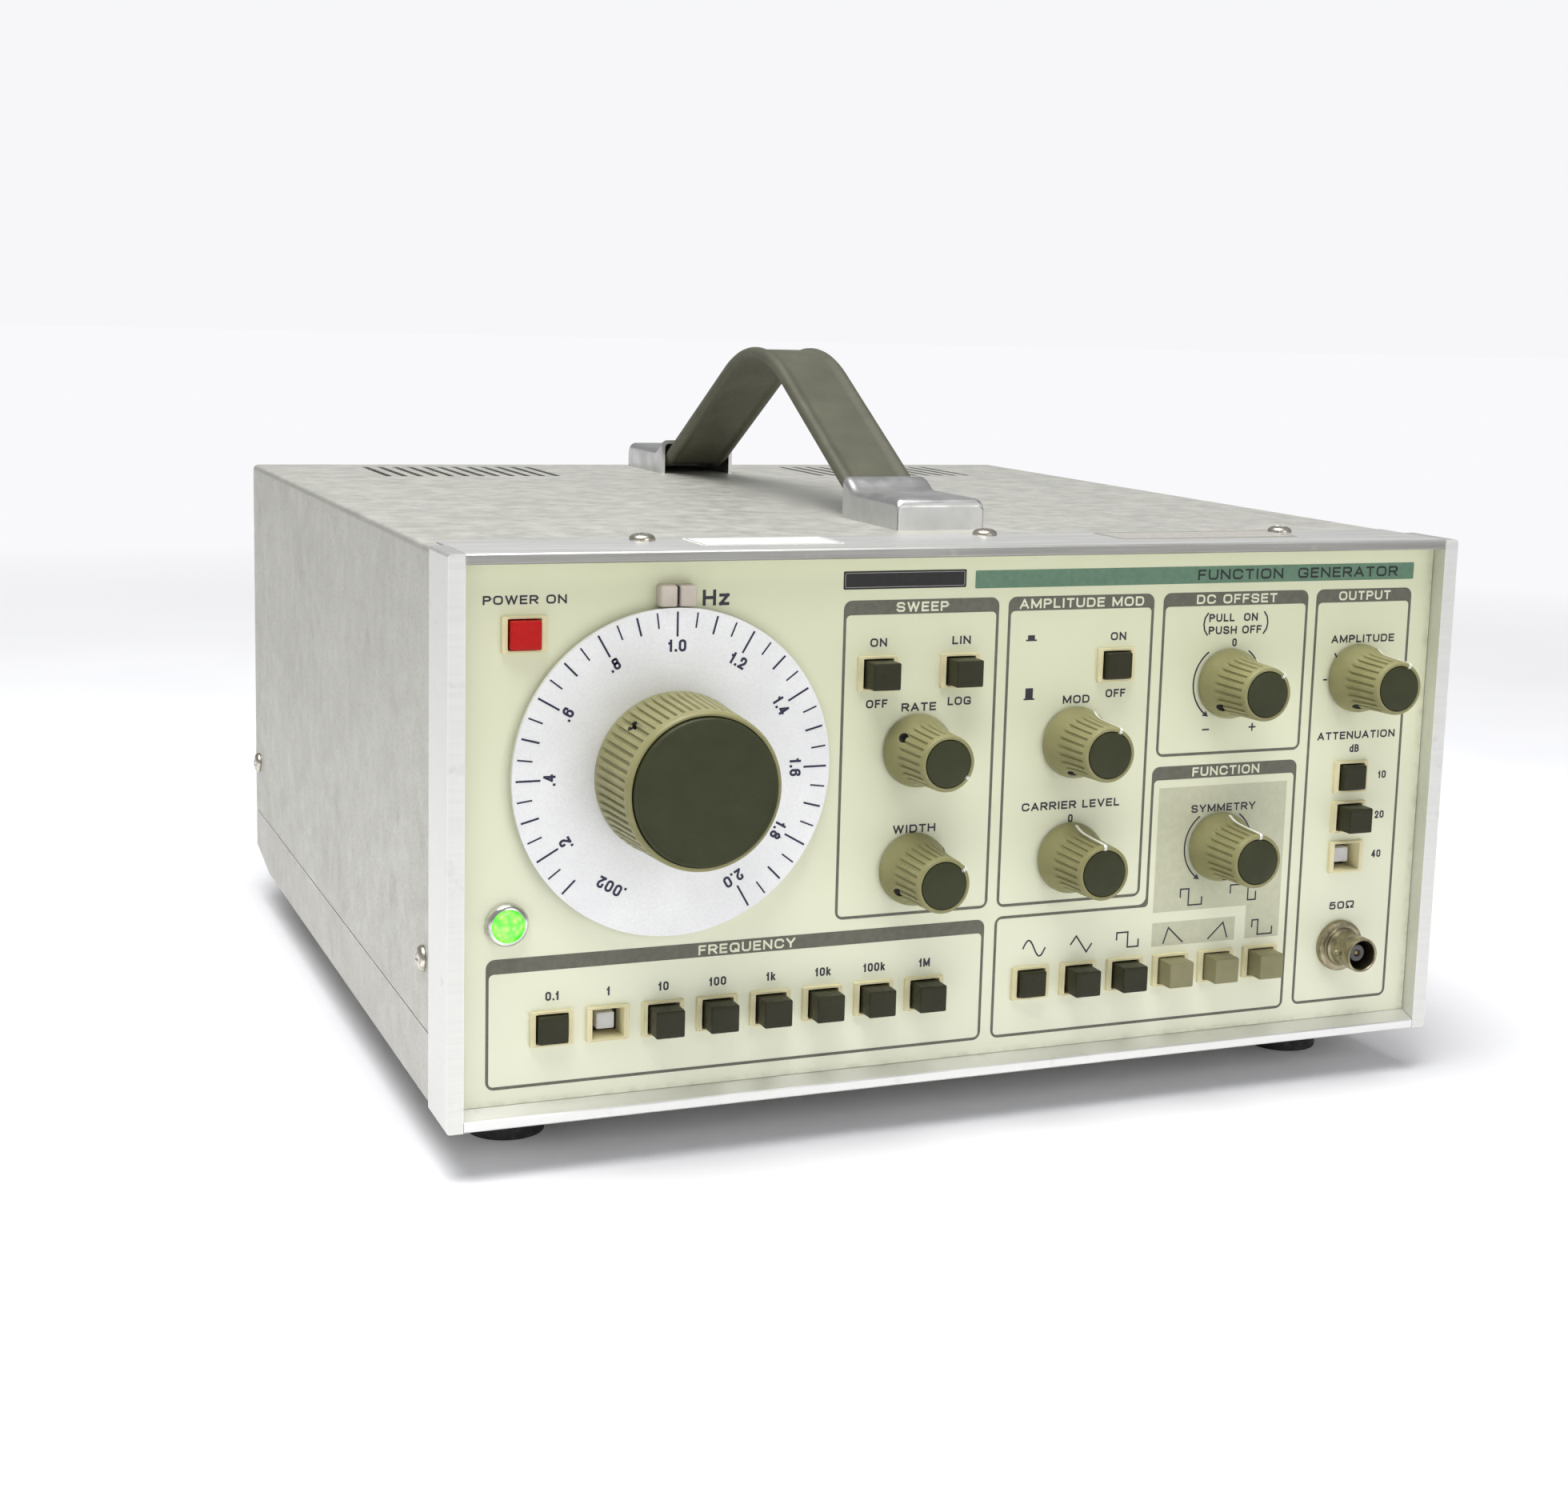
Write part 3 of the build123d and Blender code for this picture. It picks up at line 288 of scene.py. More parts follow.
def anodised_rail(name, face, top, painted_shade_above=None):
    """Satin anodised aluminium, drawn lengthways, with painted light: upward faces take a colour of their
    own, edges get a painted highlight, and above the given height the front faces are darker as painted
    shade.
    """
    finish = Finish(name, Metallic=0.85, IOR=1.45)
    streaks = finish.noise(1.2, 4, stretch=(0.03, 1, 1))
    uneven = finish.between(streaks, 0.3, 0.7)
    shade = finish.mix(uneven, shifted(face, -8), tone(*face))
    # painted shade: front faces of the top rail, above the given height, are darkened
    if painted_shade_above is not None:
        high = finish.between(finish.along("Z"), painted_shade_above * MM, (painted_shade_above + 1) * MM)
        forward = finish.between(finish.facing("Y"), -0.2, -0.75)
        painted_front_shade = finish.mix(uneven, tone(150, 149, 145), tone(168, 167, 163))
        shade = finish.mix(finish.times(high, forward), shade, painted_front_shade)
    # painted shade: upward faces take the slightly darker top colour, by how light falls on them
    painted_top_shading = finish.between(finish.facing("Z"), 0.6, 0.9)
    shade = finish.mix(painted_top_shading, shade, tone(*top))
    shade = finish.mix(finish.cloud(5, 6, 0.62, 0.75, 0.0, 0.35), shade, shifted(face, -40))
    # painted highlight: edges are lightened towards white
    finish.paint(finish.mix(finish.times(finish.edges(0.5), 0.6), shade, tone(250, 250, 248)))
    finish.gloss(finish.between(streaks, 0.3, 0.7, 0.36, 0.52))
    finish.bump(streaks, 0.01)
    return finish.material


def case_sheet(name, colour, darker):
    """Silver sheet steel, blotched by age and finely speckled, with a painted lighter top and painted edge
    highlights.
    """
    finish = Finish(name, Metallic=0.7, IOR=1.45)
    rough = 0.46
    between = [(a * 3 + b) / 4 for a, b in zip(colour, darker)]
    shade = finish.mix(finish.cloud(26, 6, 0.4, 0.66, rough=0.65), tone(*colour), tone(*between))
    shade = finish.mix(finish.cloud(0.9, 3, 0.5, 0.72, 0.0, 0.6), shade, tone(*darker))
    patches = finish.cloud(13, 7, 0.6, 0.74, 0.0, 0.3, rough=0.7)
    shade = finish.mix(patches, shade, shifted(darker, -12))
    # painted light: upward faces are lightened, as if lit from above
    painted_top_shading = finish.between(finish.facing("Z"), 0.6, 0.9, 0.0, 0.6)
    shade = finish.mix(painted_top_shading, shade, tone(226, 225, 217))
    # painted highlight: edges are lightened
    painted_edge_highlight = finish.times(finish.edges(0.6), 0.5)
    finish.paint(finish.mix(painted_edge_highlight, shade, tone(228, 227, 222)))
    finish.gloss(finish.cloud(6, 5, to_low=rough - 0.08, to_high=rough + 0.12))
    finish.bump(finish.noise(0.9, 3), 0.02)
    return finish.material


def brushed_disc():
    """The dial's satin aluminium, with a slight sparkle."""
    finish = Finish("dial_aluminium", Metallic=0.45, IOR=1.45)
    grain = finish.noise(0.7, 4)
    shade = finish.mix(finish.cloud(22, 4, 0.35, 0.7), tone(232, 232, 232), tone(244, 244, 243))
    finish.paint(finish.mix(finish.between(grain, 0.3, 0.7, 0, 0.3), shade, tone(208, 209, 212)))
    finish.gloss(finish.between(grain, 0.3, 0.7, 0.42, 0.56))
    finish.bump(grain, 0.008)
    return finish.material


def plated_metal(name, colour, darker, rough, size=2.5):
    """Plated metal with small dull patches."""
    finish = Finish(name, Metallic=1.0)
    dull = finish.cloud(size, 5, 0.38, 0.7)
    finish.paint(finish.mix(dull, tone(*colour), tone(*darker)))
    finish.gloss(finish.between(dull, 0, 1, rough, rough + 0.18))
    finish.bump(finish.noise(0.5, 3), 0.01)
    return finish.material


def lamp_glow():
    """The lit green lens, in small cells."""
    finish = Finish("green_lens", Roughness=0.18, Metallic=0.0, Emission_Strength=1.15)
    cells = finish.cells(1.5)
    colour = finish.mix(finish.between(cells, 0.15, 0.75), tone(150, 255, 96), tone(84, 226, 62))
    finish.paint(colour)
    finish.set("Emission Color", colour)
    finish.bump(cells, 0.15)
    return finish.material


def strap_vinyl():
    """Dark grey vinyl with a fine leather grain and chalky scuffs."""
    finish = Finish("strap_vinyl", Metallic=0.0, IOR=1.48)
    shade = finish.mix(finish.cloud(14, 5), tone(74, 74, 60), tone(88, 88, 72))
    scuff = finish.cloud(4, 6, 0.66, 0.76, 0.0, 0.4, stretch=(1, 0.3, 0.3))
    finish.paint(finish.mix(scuff, shade, tone(116, 116, 100)))
    cells = finish.cells(0.9)
    finish.gloss(finish.between(cells, 0, 0.8, 0.48, 0.62))
    finish.bump(cells, 0.05, 0.6)
    return finish.material


def rubber():
    finish = Finish("black_rubber", Metallic=0.0)
    dust = finish.cloud(3, 6, 0.45, 0.75, 0.0, 0.6)
    finish.paint(finish.mix(dust, tone(36, 36, 36), tone(84, 82, 78)))
    finish.gloss(finish.between(dust, 0, 1, 0.6, 0.85))
    finish.bump(finish.noise(0.6, 3), 0.03)
    return finish.material


def board_laminate():
    """Green board with a faint weave."""
    finish = Finish("board_laminate", Metallic=0.0)
    weave = finish.noise(1.2, 2, stretch=(1, 0.2, 1))
    finish.paint(finish.mix(weave, tone(38, 92, 58), tone(62, 122, 80)))
    finish.gloss(finish.between(weave, 0.3, 0.7, 0.35, 0.5))
    return finish.material


def stacked_iron():
    """Transformer laminations: dark edges in fine layers."""
    finish = Finish("transformer_iron", Metallic=0.8)
    inputs = {"Vector": finish.places, "Scale": 400.0, "Distortion": 0.5}
    layers = finish.node("TexWave", inputs).outputs["Fac"]
    finish.paint(finish.mix(layers, tone(60, 58, 56), tone(110, 108, 104)))
    finish.gloss(finish.between(layers, 0, 1, 0.4, 0.6))
    finish.bump(layers, 0.05)
    return finish.material


PLASTICS = {
    name: moulded_plastic(name, *look)
    for name, *look in (  # colour, spread, roughness, wear, grain
        ("khaki_plastic", (138, 135, 94), 6, 0.34, 0.35),
        ("olive_plastic", (52, 55, 31), 4, 0.44),
        ("olive_button", (44, 44, 25), 4, 0.34, 0.45),
        ("khaki_button", (136, 132, 98), 5, 0.34, 0.45),
        ("red_plastic", (182, 4, 2), 4, 0.3, 0.2),
        ("white_plastic", (206, 206, 206), 6, 0.36),
        ("cream_plastic", (226, 218, 176), 7, 0.36, 0.35),
        ("index_plastic", (188, 178, 166), 9, 0.3, 0.3),
        ("grey_plastic", (176, 176, 170), 7, 0.5, 0.3, 0.03),
        ("black_plastic", (34, 34, 34), 6, 0.4, 0.2),
    )
}
# painted shade on the walls of the knobs' set screw holes, and the real black of the set screws
HOLE_SHADE_AND_SCREW_BLACK = moulded_plastic("hole_shade_and_screw_black", (24, 24, 20), 4, 0.5)
METALS = {
    "dial_aluminium": brushed_disc(),
    "nickel": plated_metal("nickel", (168, 160, 134), (120, 112, 88), 0.3),
    "plated_trim": plated_metal("plated_trim", (226, 226, 222), (190, 190, 184), 0.16, size=5),
    "screw_plating": plated_metal("screw_plating", (222, 218, 208), (150, 140, 122), 0.24, size=1.4),
    "cap_plating": plated_metal("cap_plating", (214, 214, 213), (204, 204, 202), 0.3, size=9),
    "steel_shaft": plated_metal("steel_shaft", (190, 190, 188), (150, 150, 146), 0.25),
}


# ---------------------------------------------------------------- shapes
def ring(radius, out, steps):
    """A circle of points, the first one straight up, going clockwise as seen from the front."""
    spread = [2 * math.pi * step / steps for step in range(steps)]
    return [(radius * math.sin(angle), radius * math.cos(angle), out) for angle in spread]


def rounded(points, radius, steps=5):
    """A closed outline with its corners rounded. `radius` is one number, or one for each corner."""
    radii = radius if isinstance(radius, (tuple, list)) else [radius] * len(points)
    outline = []
    for index, corner in enumerate(points):
        before = Vector(points[index - 1])
        after = Vector(points[(index + 1) % len(points)])
        outline += corner_arc(before, Vector(corner), after, radii[index], steps)
    return outline


def corner_arc(before, corner, after, radius, steps):
    """The arc that rounds one corner, as steps + 1 points."""
    back, ahead = (before - corner).normalized(), (after - corner).normalized()
    half = back.angle(ahead) / 2
    start, end = corner + back * radius / math.tan(half), corner + ahead * radius / math.tan(half)
    centre = corner + (back + ahead).normalized() * radius / math.sin(half)
    # slerp gives unit vectors
    spokes = [(start - centre).slerp(end - centre, step / steps) for step in range(steps + 1)]
    return [centre + spoke * radius for spoke in spokes]


def box_outline(width, tall, radius, out, middle=(0, 0), steps=5):
    """A rounded rectangle, as points at one height."""
    x, y = width / 2, tall / 2
    points = [(middle[0] + a, middle[1] + b) for a, b in ((-x, -y), (x, -y), (x, y), (-x, y))]
    return [(p[0], p[1], out) for p in rounded(points, radius, steps)]


def loft(outlines, loop=False):
    """A closed skin over outlines of equal length: capped at its ends, or joined into a loop."""
    count = len(outlines[0])
    points = [tuple(point) for outline in outlines for point in outline]
    faces = []
    for row in range(len(outlines) if loop else len(outlines) - 1):
        a, b = row * count, (row + 1) % len(outlines) * count
        for i in range(count):
            j = (i + 1) % count
            faces.append((a + i, a + j, b + j, b + i))
    if not loop:
        faces.append(tuple(range(count)))
        faces.append(tuple(range(len(points) - count, len(points))))
    return points, faces


def lathe(profile, steps=48, loop=False):
    """A turned shape from (radius, out) points."""
    return loft([ring(radius, out, steps) for radius, out in profile], loop)


def plate(outline, low, high):
    """A flat shape with its outline between two heights."""
    return loft([[(p[0], p[1], low) for p in outline], [(p[0], p[1], high) for p in outline]])


def block(width, tall, rows, middle=(0, 0)):
    """A rounded block from (inset, corner radius, out) rows."""
    return loft([box_outline(width - inset, tall - inset, r, out, middle) for inset, r, out in rows])


def stroke(points, width, low, high, closed=False):
    """A line of ink along points on the surface."""
    points = [Vector(point) for point in points]
    sections = []
    for index, point in enumerate(points):
        before = points[index - 1] if index or closed else None
        after = points[(index + 1) % len(points)] if index < len(points) - 1 or closed else None
        into = (point - before).normalized() if before is not None else (after - point).normalized()
        away = (after - point).normalized() if after is not None else into
        middle = (into + away).normalized()
        side = Vector((-middle.y, middle.x)) * width / 2 / max(0.35, middle.dot(into))
        left, right = point + side, point - side
        sections.append([(*left, low), (*right, low), (*right, high), (*left, high)])
    return loft(sections, closed)


class Shape:
    """A mesh being gathered from placed parts, in millimetres."""

    def __init__(self):
        self.mesh = bmesh.new()

    def add(self, part, place=Matrix(), finish=0):
        points, faces = part
        verts = [self.mesh.verts.new(place @ Vector(point)) for point in points]
        for face in faces:
            self.mesh.faces.new([verts[i] for i in face]).material_index = finish
        return self

    def object(self, name, crisp=32):
        """An object in metres, smooth except along edges sharper than `crisp` degrees."""
        bmesh.ops.recalc_face_normals(self.mesh, faces=self.mesh.faces)
        for edge in self.mesh.edges:
            if len(edge.link_faces) == 2:
                edge.smooth = edge.calc_face_angle(0) < math.radians(crisp)
        for face in self.mesh.faces:
            face.smooth = True
        self.mesh.transform(Matrix.Scale(MM, 4))
        data = bpy.data.meshes.new(name)
        self.mesh.to_mesh(data)
        self.mesh.free()
        return linked(name, data)


def dress(made, materials, body, replaces=()):
    """Gives an object its materials, its body and the CAD nodes that it stands for."""
    for material in materials:
        made.data.materials.append(material)
    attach(made, body)
    if replaces:
        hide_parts(*replaces)


def carve(solid, cutter):
    """Cuts one object out of another and returns the result's mesh as the first object's."""
    modifier = solid.modifiers.new("carve", "BOOLEAN")
    modifier.operation = "DIFFERENCE"
    modifier.solver = "EXACT"
    modifier.object = cutter
    bpy.context.view_layer.update()
    shown = solid.evaluated_get(bpy.context.evaluated_depsgraph_get())
    carved = bpy.data.meshes.new_from_object(shown)
    solid.modifiers.clear()
    solid.data = carved
    bpy.data.objects.remove(cutter)
    return solid


# ---------------------------------------------------------------- printing
INK_LOW, PATCH_TOP, INK_TOP = -0.02, 0.03, 0.05
LINE = 0.42


# Letters in a unit box: the width in capital heights, then strokes of (points, corner radius), with
# True where a stroke is closed.
UPRIGHT = ([(0, 0), (0, 1)], 0)
BOWL = ([(0, 1), (1, 1), (1, 0.46), (0, 0.46)], 0.22)
CORNERS = [(0, 0), (1, 0), (1, 1), (0, 1)]
GLYPHS = {
    "A": (0.74, [([(0, 0), (0.5, 1), (1, 0)], 0), ([(0.2, 0.3), (0.8, 0.3)], 0)]),
    "B": (0.66, [UPRIGHT, ([(0, 1), (0.9, 1), (0.9, 0.52), (0, 0.52)], 0.19),
                 ([(0, 0.52), (1, 0.52), (1, 0), (0, 0)], 0.2)]),
    "C": (0.74, [([(1, 0.76), (0.84, 1), (0, 1), (0, 0), (0.84, 0), (1, 0.24)], 0.27)]),
    "D": (0.7, [UPRIGHT, ([(0, 1), (1, 1), (1, 0), (0, 0)], 0.3)]),
    "E": (0.6, [([(1, 1), (0, 1), (0, 0), (1, 0)], 0), ([(0, 0.52), (0.9, 0.52)], 0)]),
    "F": (0.57, [([(1, 1), (0, 1), (0, 0)], 0), ([(0, 0.5), (0.85, 0.5)], 0)]),
    "G": (0.76, [([(1, 0.78), (0.84, 1), (0, 1), (0, 0), (1, 0), (1, 0.42)], 0.27),
                 ([(1, 0.42), (0.62, 0.42)], 0)]),
    "H": (0.7, [UPRIGHT, ([(1, 0), (1, 1)], 0), ([(0, 0.5), (1, 0.5)], 0)]),
    "I": (0.17, [([(0.5, 0), (0.5, 1)], 0)]),
    "L": (0.55, [([(0, 1), (0, 0), (1, 0)], 0)]),
    "M": (0.84, [([(0, 0), (0, 1), (0.5, 0.1), (1, 1), (1, 0)], 0)]),
    "N": (0.7, [([(0, 0), (0, 1), (1, 0), (1, 1)], 0)]),
    "O": (0.76, [(CORNERS, 0.29, True)]),
    "P": (0.64, [UPRIGHT, BOWL]),
    "Q": (0.76, [(CORNERS, 0.29, True), ([(0.6, 0.25), (1, -0.02)], 0)]),
    "R": (0.68, [UPRIGHT, BOWL, ([(0.5, 0.46), (1, 0)], 0)]),
    "S": (0.68, [([(0.97, 0.84), (0.8, 1), (0, 1), (0, 0.54), (1, 0.47), (1, 0), (0.18, 0), (0, 0.17)],
                  0.2)]),
    "T": (0.62, [([(0, 1), (1, 1)], 0), ([(0.5, 1), (0.5, 0)], 0)]),
    "U": (0.7, [([(0, 1), (0, 0), (1, 0), (1, 1)], 0.26)]),
    "V": (0.7, [([(0, 1), (0.5, 0), (1, 1)], 0)]),
    "W": (0.98, [([(0, 1), (0.25, 0), (0.5, 1), (0.75, 0), (1, 1)], 0)]),
    "Y": (0.7, [([(0, 1), (0.5, 0.42)], 0), ([(1, 1), (0.5, 0.42), (0.5, 0)], 0)]),
    "d": (0.58, [([(1, 0), (1, 1)], 0), ([(0, 0), (1, 0), (1, 0.68), (0, 0.68)], 0.2, True)]),
    "k": (0.54, [UPRIGHT, ([(0.9, 0.68), (0, 0.26)], 0), ([(0.35, 0.42), (1, 0)], 0)]),
    "z": (0.54, [([(0, 0.68), (1, 0.68), (0, 0), (1, 0)], 0)]),
    "Ω": (0.76, [([(0, 0), (0.3, 0)], 0), ([(1, 0), (0.7, 0)], 0),
                 ([(0.32, 0), (0.32, 0.16), (0, 0.4), (0, 1), (1, 1), (1, 0.4), (0.68, 0.16), (0.68, 0)],
                  0.12)]),
    "0": (0.64, [(CORNERS, 0.21, True)]),
    "1": (0.38, [([(0, 0.74), (0.62, 0.78)], 0), ([(0.7, 0), (0.7, 1)], 0)]),
    "2": (0.58, [([(0, 0.7), (0, 1), (1, 1), (1, 0.56), (0, 0.02)], 0.19), ([(0, 0), (1, 0)], 0)]),
    "4": (0.6, [([(0.74, 0), (0.74, 1)], 0), ([(0.7, 1), (0, 0.28)], 0), ([(0, 0.26), (1, 0.26)], 0)]),
    "5": (0.6, [([(0.92, 1), (0.14, 1), (0.04, 0.5)], 0),
                ([(0.04, 0.5), (0.35, 0.63), (1, 0.63), (1, 0), (0.18, 0), (0, 0.16)], 0.19)]),
    "6": (0.6, [([(0, 0), (1, 0), (1, 0.6), (0, 0.6)], 0.2, True),
                ([(0, 0.32), (0, 1), (1, 1), (1, 0.8)], 0.21)]),
    "8": (0.6, [([(0.05, 0.54), (0.95, 0.54), (0.95, 1), (0.05, 1)], 0.18, True),
                ([(0, 0), (1, 0), (1, 0.54), (0, 0.54)], 0.19, True)]),
    ".": (0.17, [([(0.5, 0), (0.5, 0.02)], 0)]),
    " ": (0.3, []),
}
LETTER_GAP = 0.17


def glyph_paths(letter, left, stretch, capital, weight):
    """A letter's strokes as (points, closed), with its box's left side at `left`."""
    width, strokes = GLYPHS[letter]
    inset = weight / 2
    run = max(0.0, width * capital * stretch - weight)
    rise = capital - weight
    paths = []
    for points, radius, *closed in strokes:
        spots = [Vector((left + inset + x * run, inset + y * rise)) for x, y in points]
        if closed:
            paths.append((rounded(spots, min(radius * capital, run / 2.02), 6), True))
        elif radius:
            paths.append((eased(spots, radius * capital), False))
        else:
            paths += [([a, b], False) for a, b in zip(spots, spots[1:])]
    return paths


def eased(spots, radius):
    """An open line with its corners rounded, by less where its stretches are short."""
    line = [spots[0]]
    for before, corner, after in zip(spots, spots[1:], spots[2:]):
        room = min((before - corner).length, (after - corner).length) * 0.5
        half = (before - corner).angle(after - corner) / 2
        line += corner_arc(before, corner, after, min(radius, room * math.tan(half)), 6)
    return line + [spots[-1]]


def lettering(shape, words, place, capital, width=None, weight=0.2, finish=0, top=INK_TOP):
    """Adds words to a shape, centred on a place, with capitals of the given height."""
    natural = sum(GLYPHS[letter][0] for letter in words) + LETTER_GAP * (len(words) - 1)
    stretch = width / (natural * capital) if width else 1.0
    thick = weight * capital
    left = -natural * capital * stretch / 2
    middle = Matrix.Translation((0, -capital / 2, 0))
    for letter in words:
        for count, (points, closed) in enumerate(glyph_paths(letter, left, stretch, capital, thick)):
            if not closed:
                points = lengthened(points, thick / 2)
            level = top - 0.002 * (count % 4)
            shape.add(stroke(points, thick, INK_LOW, level, closed), place @ middle, finish)
        left += (GLYPHS[letter][0] + LETTER_GAP) * capital * stretch


def lengthened(points, extra):
    """A line run on past both its ends."""
    first = points[0] + (points[0] - points[1]).normalized() * extra
    last = points[-1] + (points[-1] - points[-2]).normalized() * extra
    return [first, *points[1:-1], last]


def arc(middle, radius, start, end, steps=18):
    """Points on an arc, its angles clockwise from straight up."""
    angles = [math.radians(start + (end - start) * step / steps) for step in range(steps + 1)]
    return [(middle[0] + radius * math.sin(a), middle[1] + radius * math.cos(a)) for a in angles]


PANEL = on_panel(0, 0)


def printed(shape, name, *inks):
    """Makes one piece on the panel of the ink that a shape has gathered."""
    dress(shape.object(name), inks, "case")


# Each box on the panel as (left, low, right, high), with the header band inside its top.
BAND_TALL = 3.7
BOX_LINE = 0.75
BOXES = {
    "sweep": (-40.4, 44.1, 3.0, 126.3),
    "modulation": (5.7, 44.0, 48.9, 126.3),
    "offset": (51.7, 82.0, 97.2, 126.3),
    "output": (99.8, 8.9, 131.1, 126.3),
    "frequency": (-131.3, 8.3, 2.4, 41.1),
}
FUNCTION_OUTLINE = ((5.4, 8.3), (96.7, 8.3), (96.7, 79.3), (50.9, 79.3), (50.9, 41.5), (5.4, 41.5))


def framed(outer, inner):
    """A flat ring between two outlines with the same corners."""
    out = rounded(outer, 2.2)
    into = rounded(inner, 1.2)
    rows = [(out, INK_LOW), (out, INK_TOP), (into, INK_TOP), (into, INK_LOW)]
    return loft([[(p[0], p[1], h) for p in line] for line, h in rows], loop=True)


def panel_outlines():
    shape = Shape()
    for left, low, right, high in BOXES.values():
        outer = ((left, low), (right, low), (right, high), (left, high))
        a, b, c, d = left + BOX_LINE, low + BOX_LINE, right - BOX_LINE, high - BAND_TALL
        shape.add(framed(outer, ((a, b), (c, b), (c, d), (a, d))), PANEL)
    (left, low), (right, _), (_, high), (notch, _), (_, step), _ = FUNCTION_OUTLINE
    edge, band = BOX_LINE, high - BAND_TALL
    inner = (
        (left + edge, low + edge),
        (right - edge, low + edge),
        (right - edge, band),
        (notch + edge, band),
        (notch + edge, step - edge),
        (left + edge, step - edge),
    )
    shape.add(framed(FUNCTION_OUTLINE, inner), PANEL)
    printed(shape, "panel_outlines", screen_ink("outline_ink", (98, 97, 84)))


HEADERS = {
    "SWEEP": (-18.7, 124.4, 14.5),
    "AMPLITUDE MOD": (27.3, 124.4, 36.8),
    "DC OFFSET": (74.5, 124.4, 25.2),
    "OUTPUT": (115.6, 124.4, 16.9),
    "FUNCTION": (74.0, 77.4, 21.2),
    "FREQUENCY": (-64.1, 39.2, 26.0),
}
HEADER_CAPITAL = 2.5


def header_words():
    shape = Shape()
    for words, (x, h, width) in HEADERS.items():
        lettering(shape, words, on_panel(x, h), HEADER_CAPITAL, width, top=INK_TOP + 0.03)
    printed(shape, "header_words", screen_ink("header_ink", (226, 226, 200)))


LEGEND_CAPITAL = 2.15
LEGENDS = (
    ("ON", -30.6, 115.5, 4.6),
    ("OFF", -30.6, 99.8, 5.9),
    ("LIN", -7.4, 115.5, 5.2),
    ("LOG", -7.4, 99.7, 6.6),
    ("RATE", -18.8, 98.6, 9.7),
    ("WIDTH", -18.9, 66.8, 12.0),
    ("ON", 38.5, 115.2, 4.6),
    ("OFF", 38.4, 100.0, 5.9),
    ("MOD", 26.7, 98.8, 7.9),
    ("CARRIER LEVEL", 26.6, 70.5, 29.2),
    ("0", 26.6, 66.8, None),
    ("PULL  ON", 73.7, 119.3, 15.2),
    ("PUSH OFF", 74.4, 115.9, 16.6),
    ("0", 74.4, 112.5, None),
    ("SYMMETRY", 73.9, 67.1, 20.3),
    ("AMPLITUDE", 115.9, 112.4, 20.7),
    ("ATTENUATION", 115.8, 85.3, 25.6),
    ("dB", 115.4, 81.5, None),
    ("10", 125.3, 73.6, None),
    ("20", 125.3, 62.1, None),
    ("40", 125.1, 50.8, None),
    ("50Ω", 114.6, 36.6, 8.2),
    ("POWER ON", -122.3, 128.4, 20.4),
)
RANGES = {
    "range_100m_button": "0.1",
    "range_1_plunger": "1",
    "range_10_button": "10",
    "range_100_button": "100",
    "range_1k_button": "1k",
    "range_10k_button": "10k",
    "range_100k_button": "100k",
    "range_1M_button": "1M",
}
RANGE_WORD_HEIGHT = 30.8
ARC_RADIUS = 10.6


def turn_arrows(shape, node, start, end):
    """A pair of arcs beside a knob, each with an arrowhead at its lower end."""
    middle = panel_centre(node)
    for side in (-1, 1):
        shape.add(stroke(arc(middle, ARC_RADIUS, side * start, side * end), LINE, INK_LOW, INK_TOP), PANEL)
        tip = arc(middle, ARC_RADIUS, side * end, side * (end + 9), 1)[1]
        wings = [arc(middle, ARC_RADIUS + off, side * end, side * end, 1)[0] for off in (-0.85, 0.85)]
        shape.add(plate([tip, *wings], INK_LOW, INK_TOP), PANEL)


def pulse(left, edge, right, start, high, low, end):
    """A square wave that steps down at `edge`."""
    return (left, start), (left, high), (edge, high), (edge, low), (right, low), (right, end)


def bracket(side):
    """One of the round brackets about the words beside the offset control."""
    middle = 74.55
    bow = ((8.75, 120.7), (9.75, 119.3), (10.05, 117.6), (9.75, 116.0), (8.75, 114.6))
    return [(middle + side * x, h) for x, h in bow]


def symbols(shape):
    """Wave shapes, brackets, signs and small marks."""
    sine = [(14.1 + 6.7 * i / 24, 32.0 + 2.25 * math.sin(2 * math.pi * i / 24)) for i in range(25)]
    lines = (
        sine,
        ((28.4, 32.0), (30.1, 34.3), (33.3, 29.7), (34.9, 32.0)),
        pulse(42.5, 45.9, 49.2, 32.1, 34.2, 30.0, 32.1),
        ((57.0, 30.0), (58.5, 34.4), (63.2, 30.0)),
        ((71.1, 30.2), (75.8, 34.6), (77.3, 30.2)),
        pulse(85.2, 87.1, 91.7, 32.4, 34.5, 30.3, 32.4),
        pulse(61.7, 64.3, 68.5, 42.5, 44.9, 40.3, 42.5),
        pulse(77.6, 83.3, 85.8, 42.6, 45.0, 40.4, 42.8),
        bracket(-1),
        bracket(1),
        ((65.7, 88.9), (67.9, 88.9)),
        ((80.4, 89.0), (82.6, 89.0)),
        ((81.5, 87.9), (81.5, 90.1)),
        ((106.9, 108.5), (107.9, 107.0)),
        ((103.6, 101.2), (104.9, 101.2)),
    )
    for line in lines:
        shape.add(stroke(line, LINE, INK_LOW, INK_TOP), PANEL)


def button_icons(shape):
    """A low block for the button in, and a tall one for the button out."""
    middle = 12.7
    for h, wide, tall in ((114.8, 2.0, 1.35), (99.3, 2.2, 2.9)):
        left, right = middle - wide / 2, middle + wide / 2
        base = ((11.15, h - 0.2), (14.3, h - 0.2), (14.3, h + 0.2), (11.15, h + 0.2))
        stub = ((left, h), (right, h), (right, h + tall), (left, h + tall))
        shape.add(plate(base, INK_LOW, INK_TOP), PANEL)
        shape.add(plate(stub, INK_LOW, INK_TOP - 0.005), PANEL)


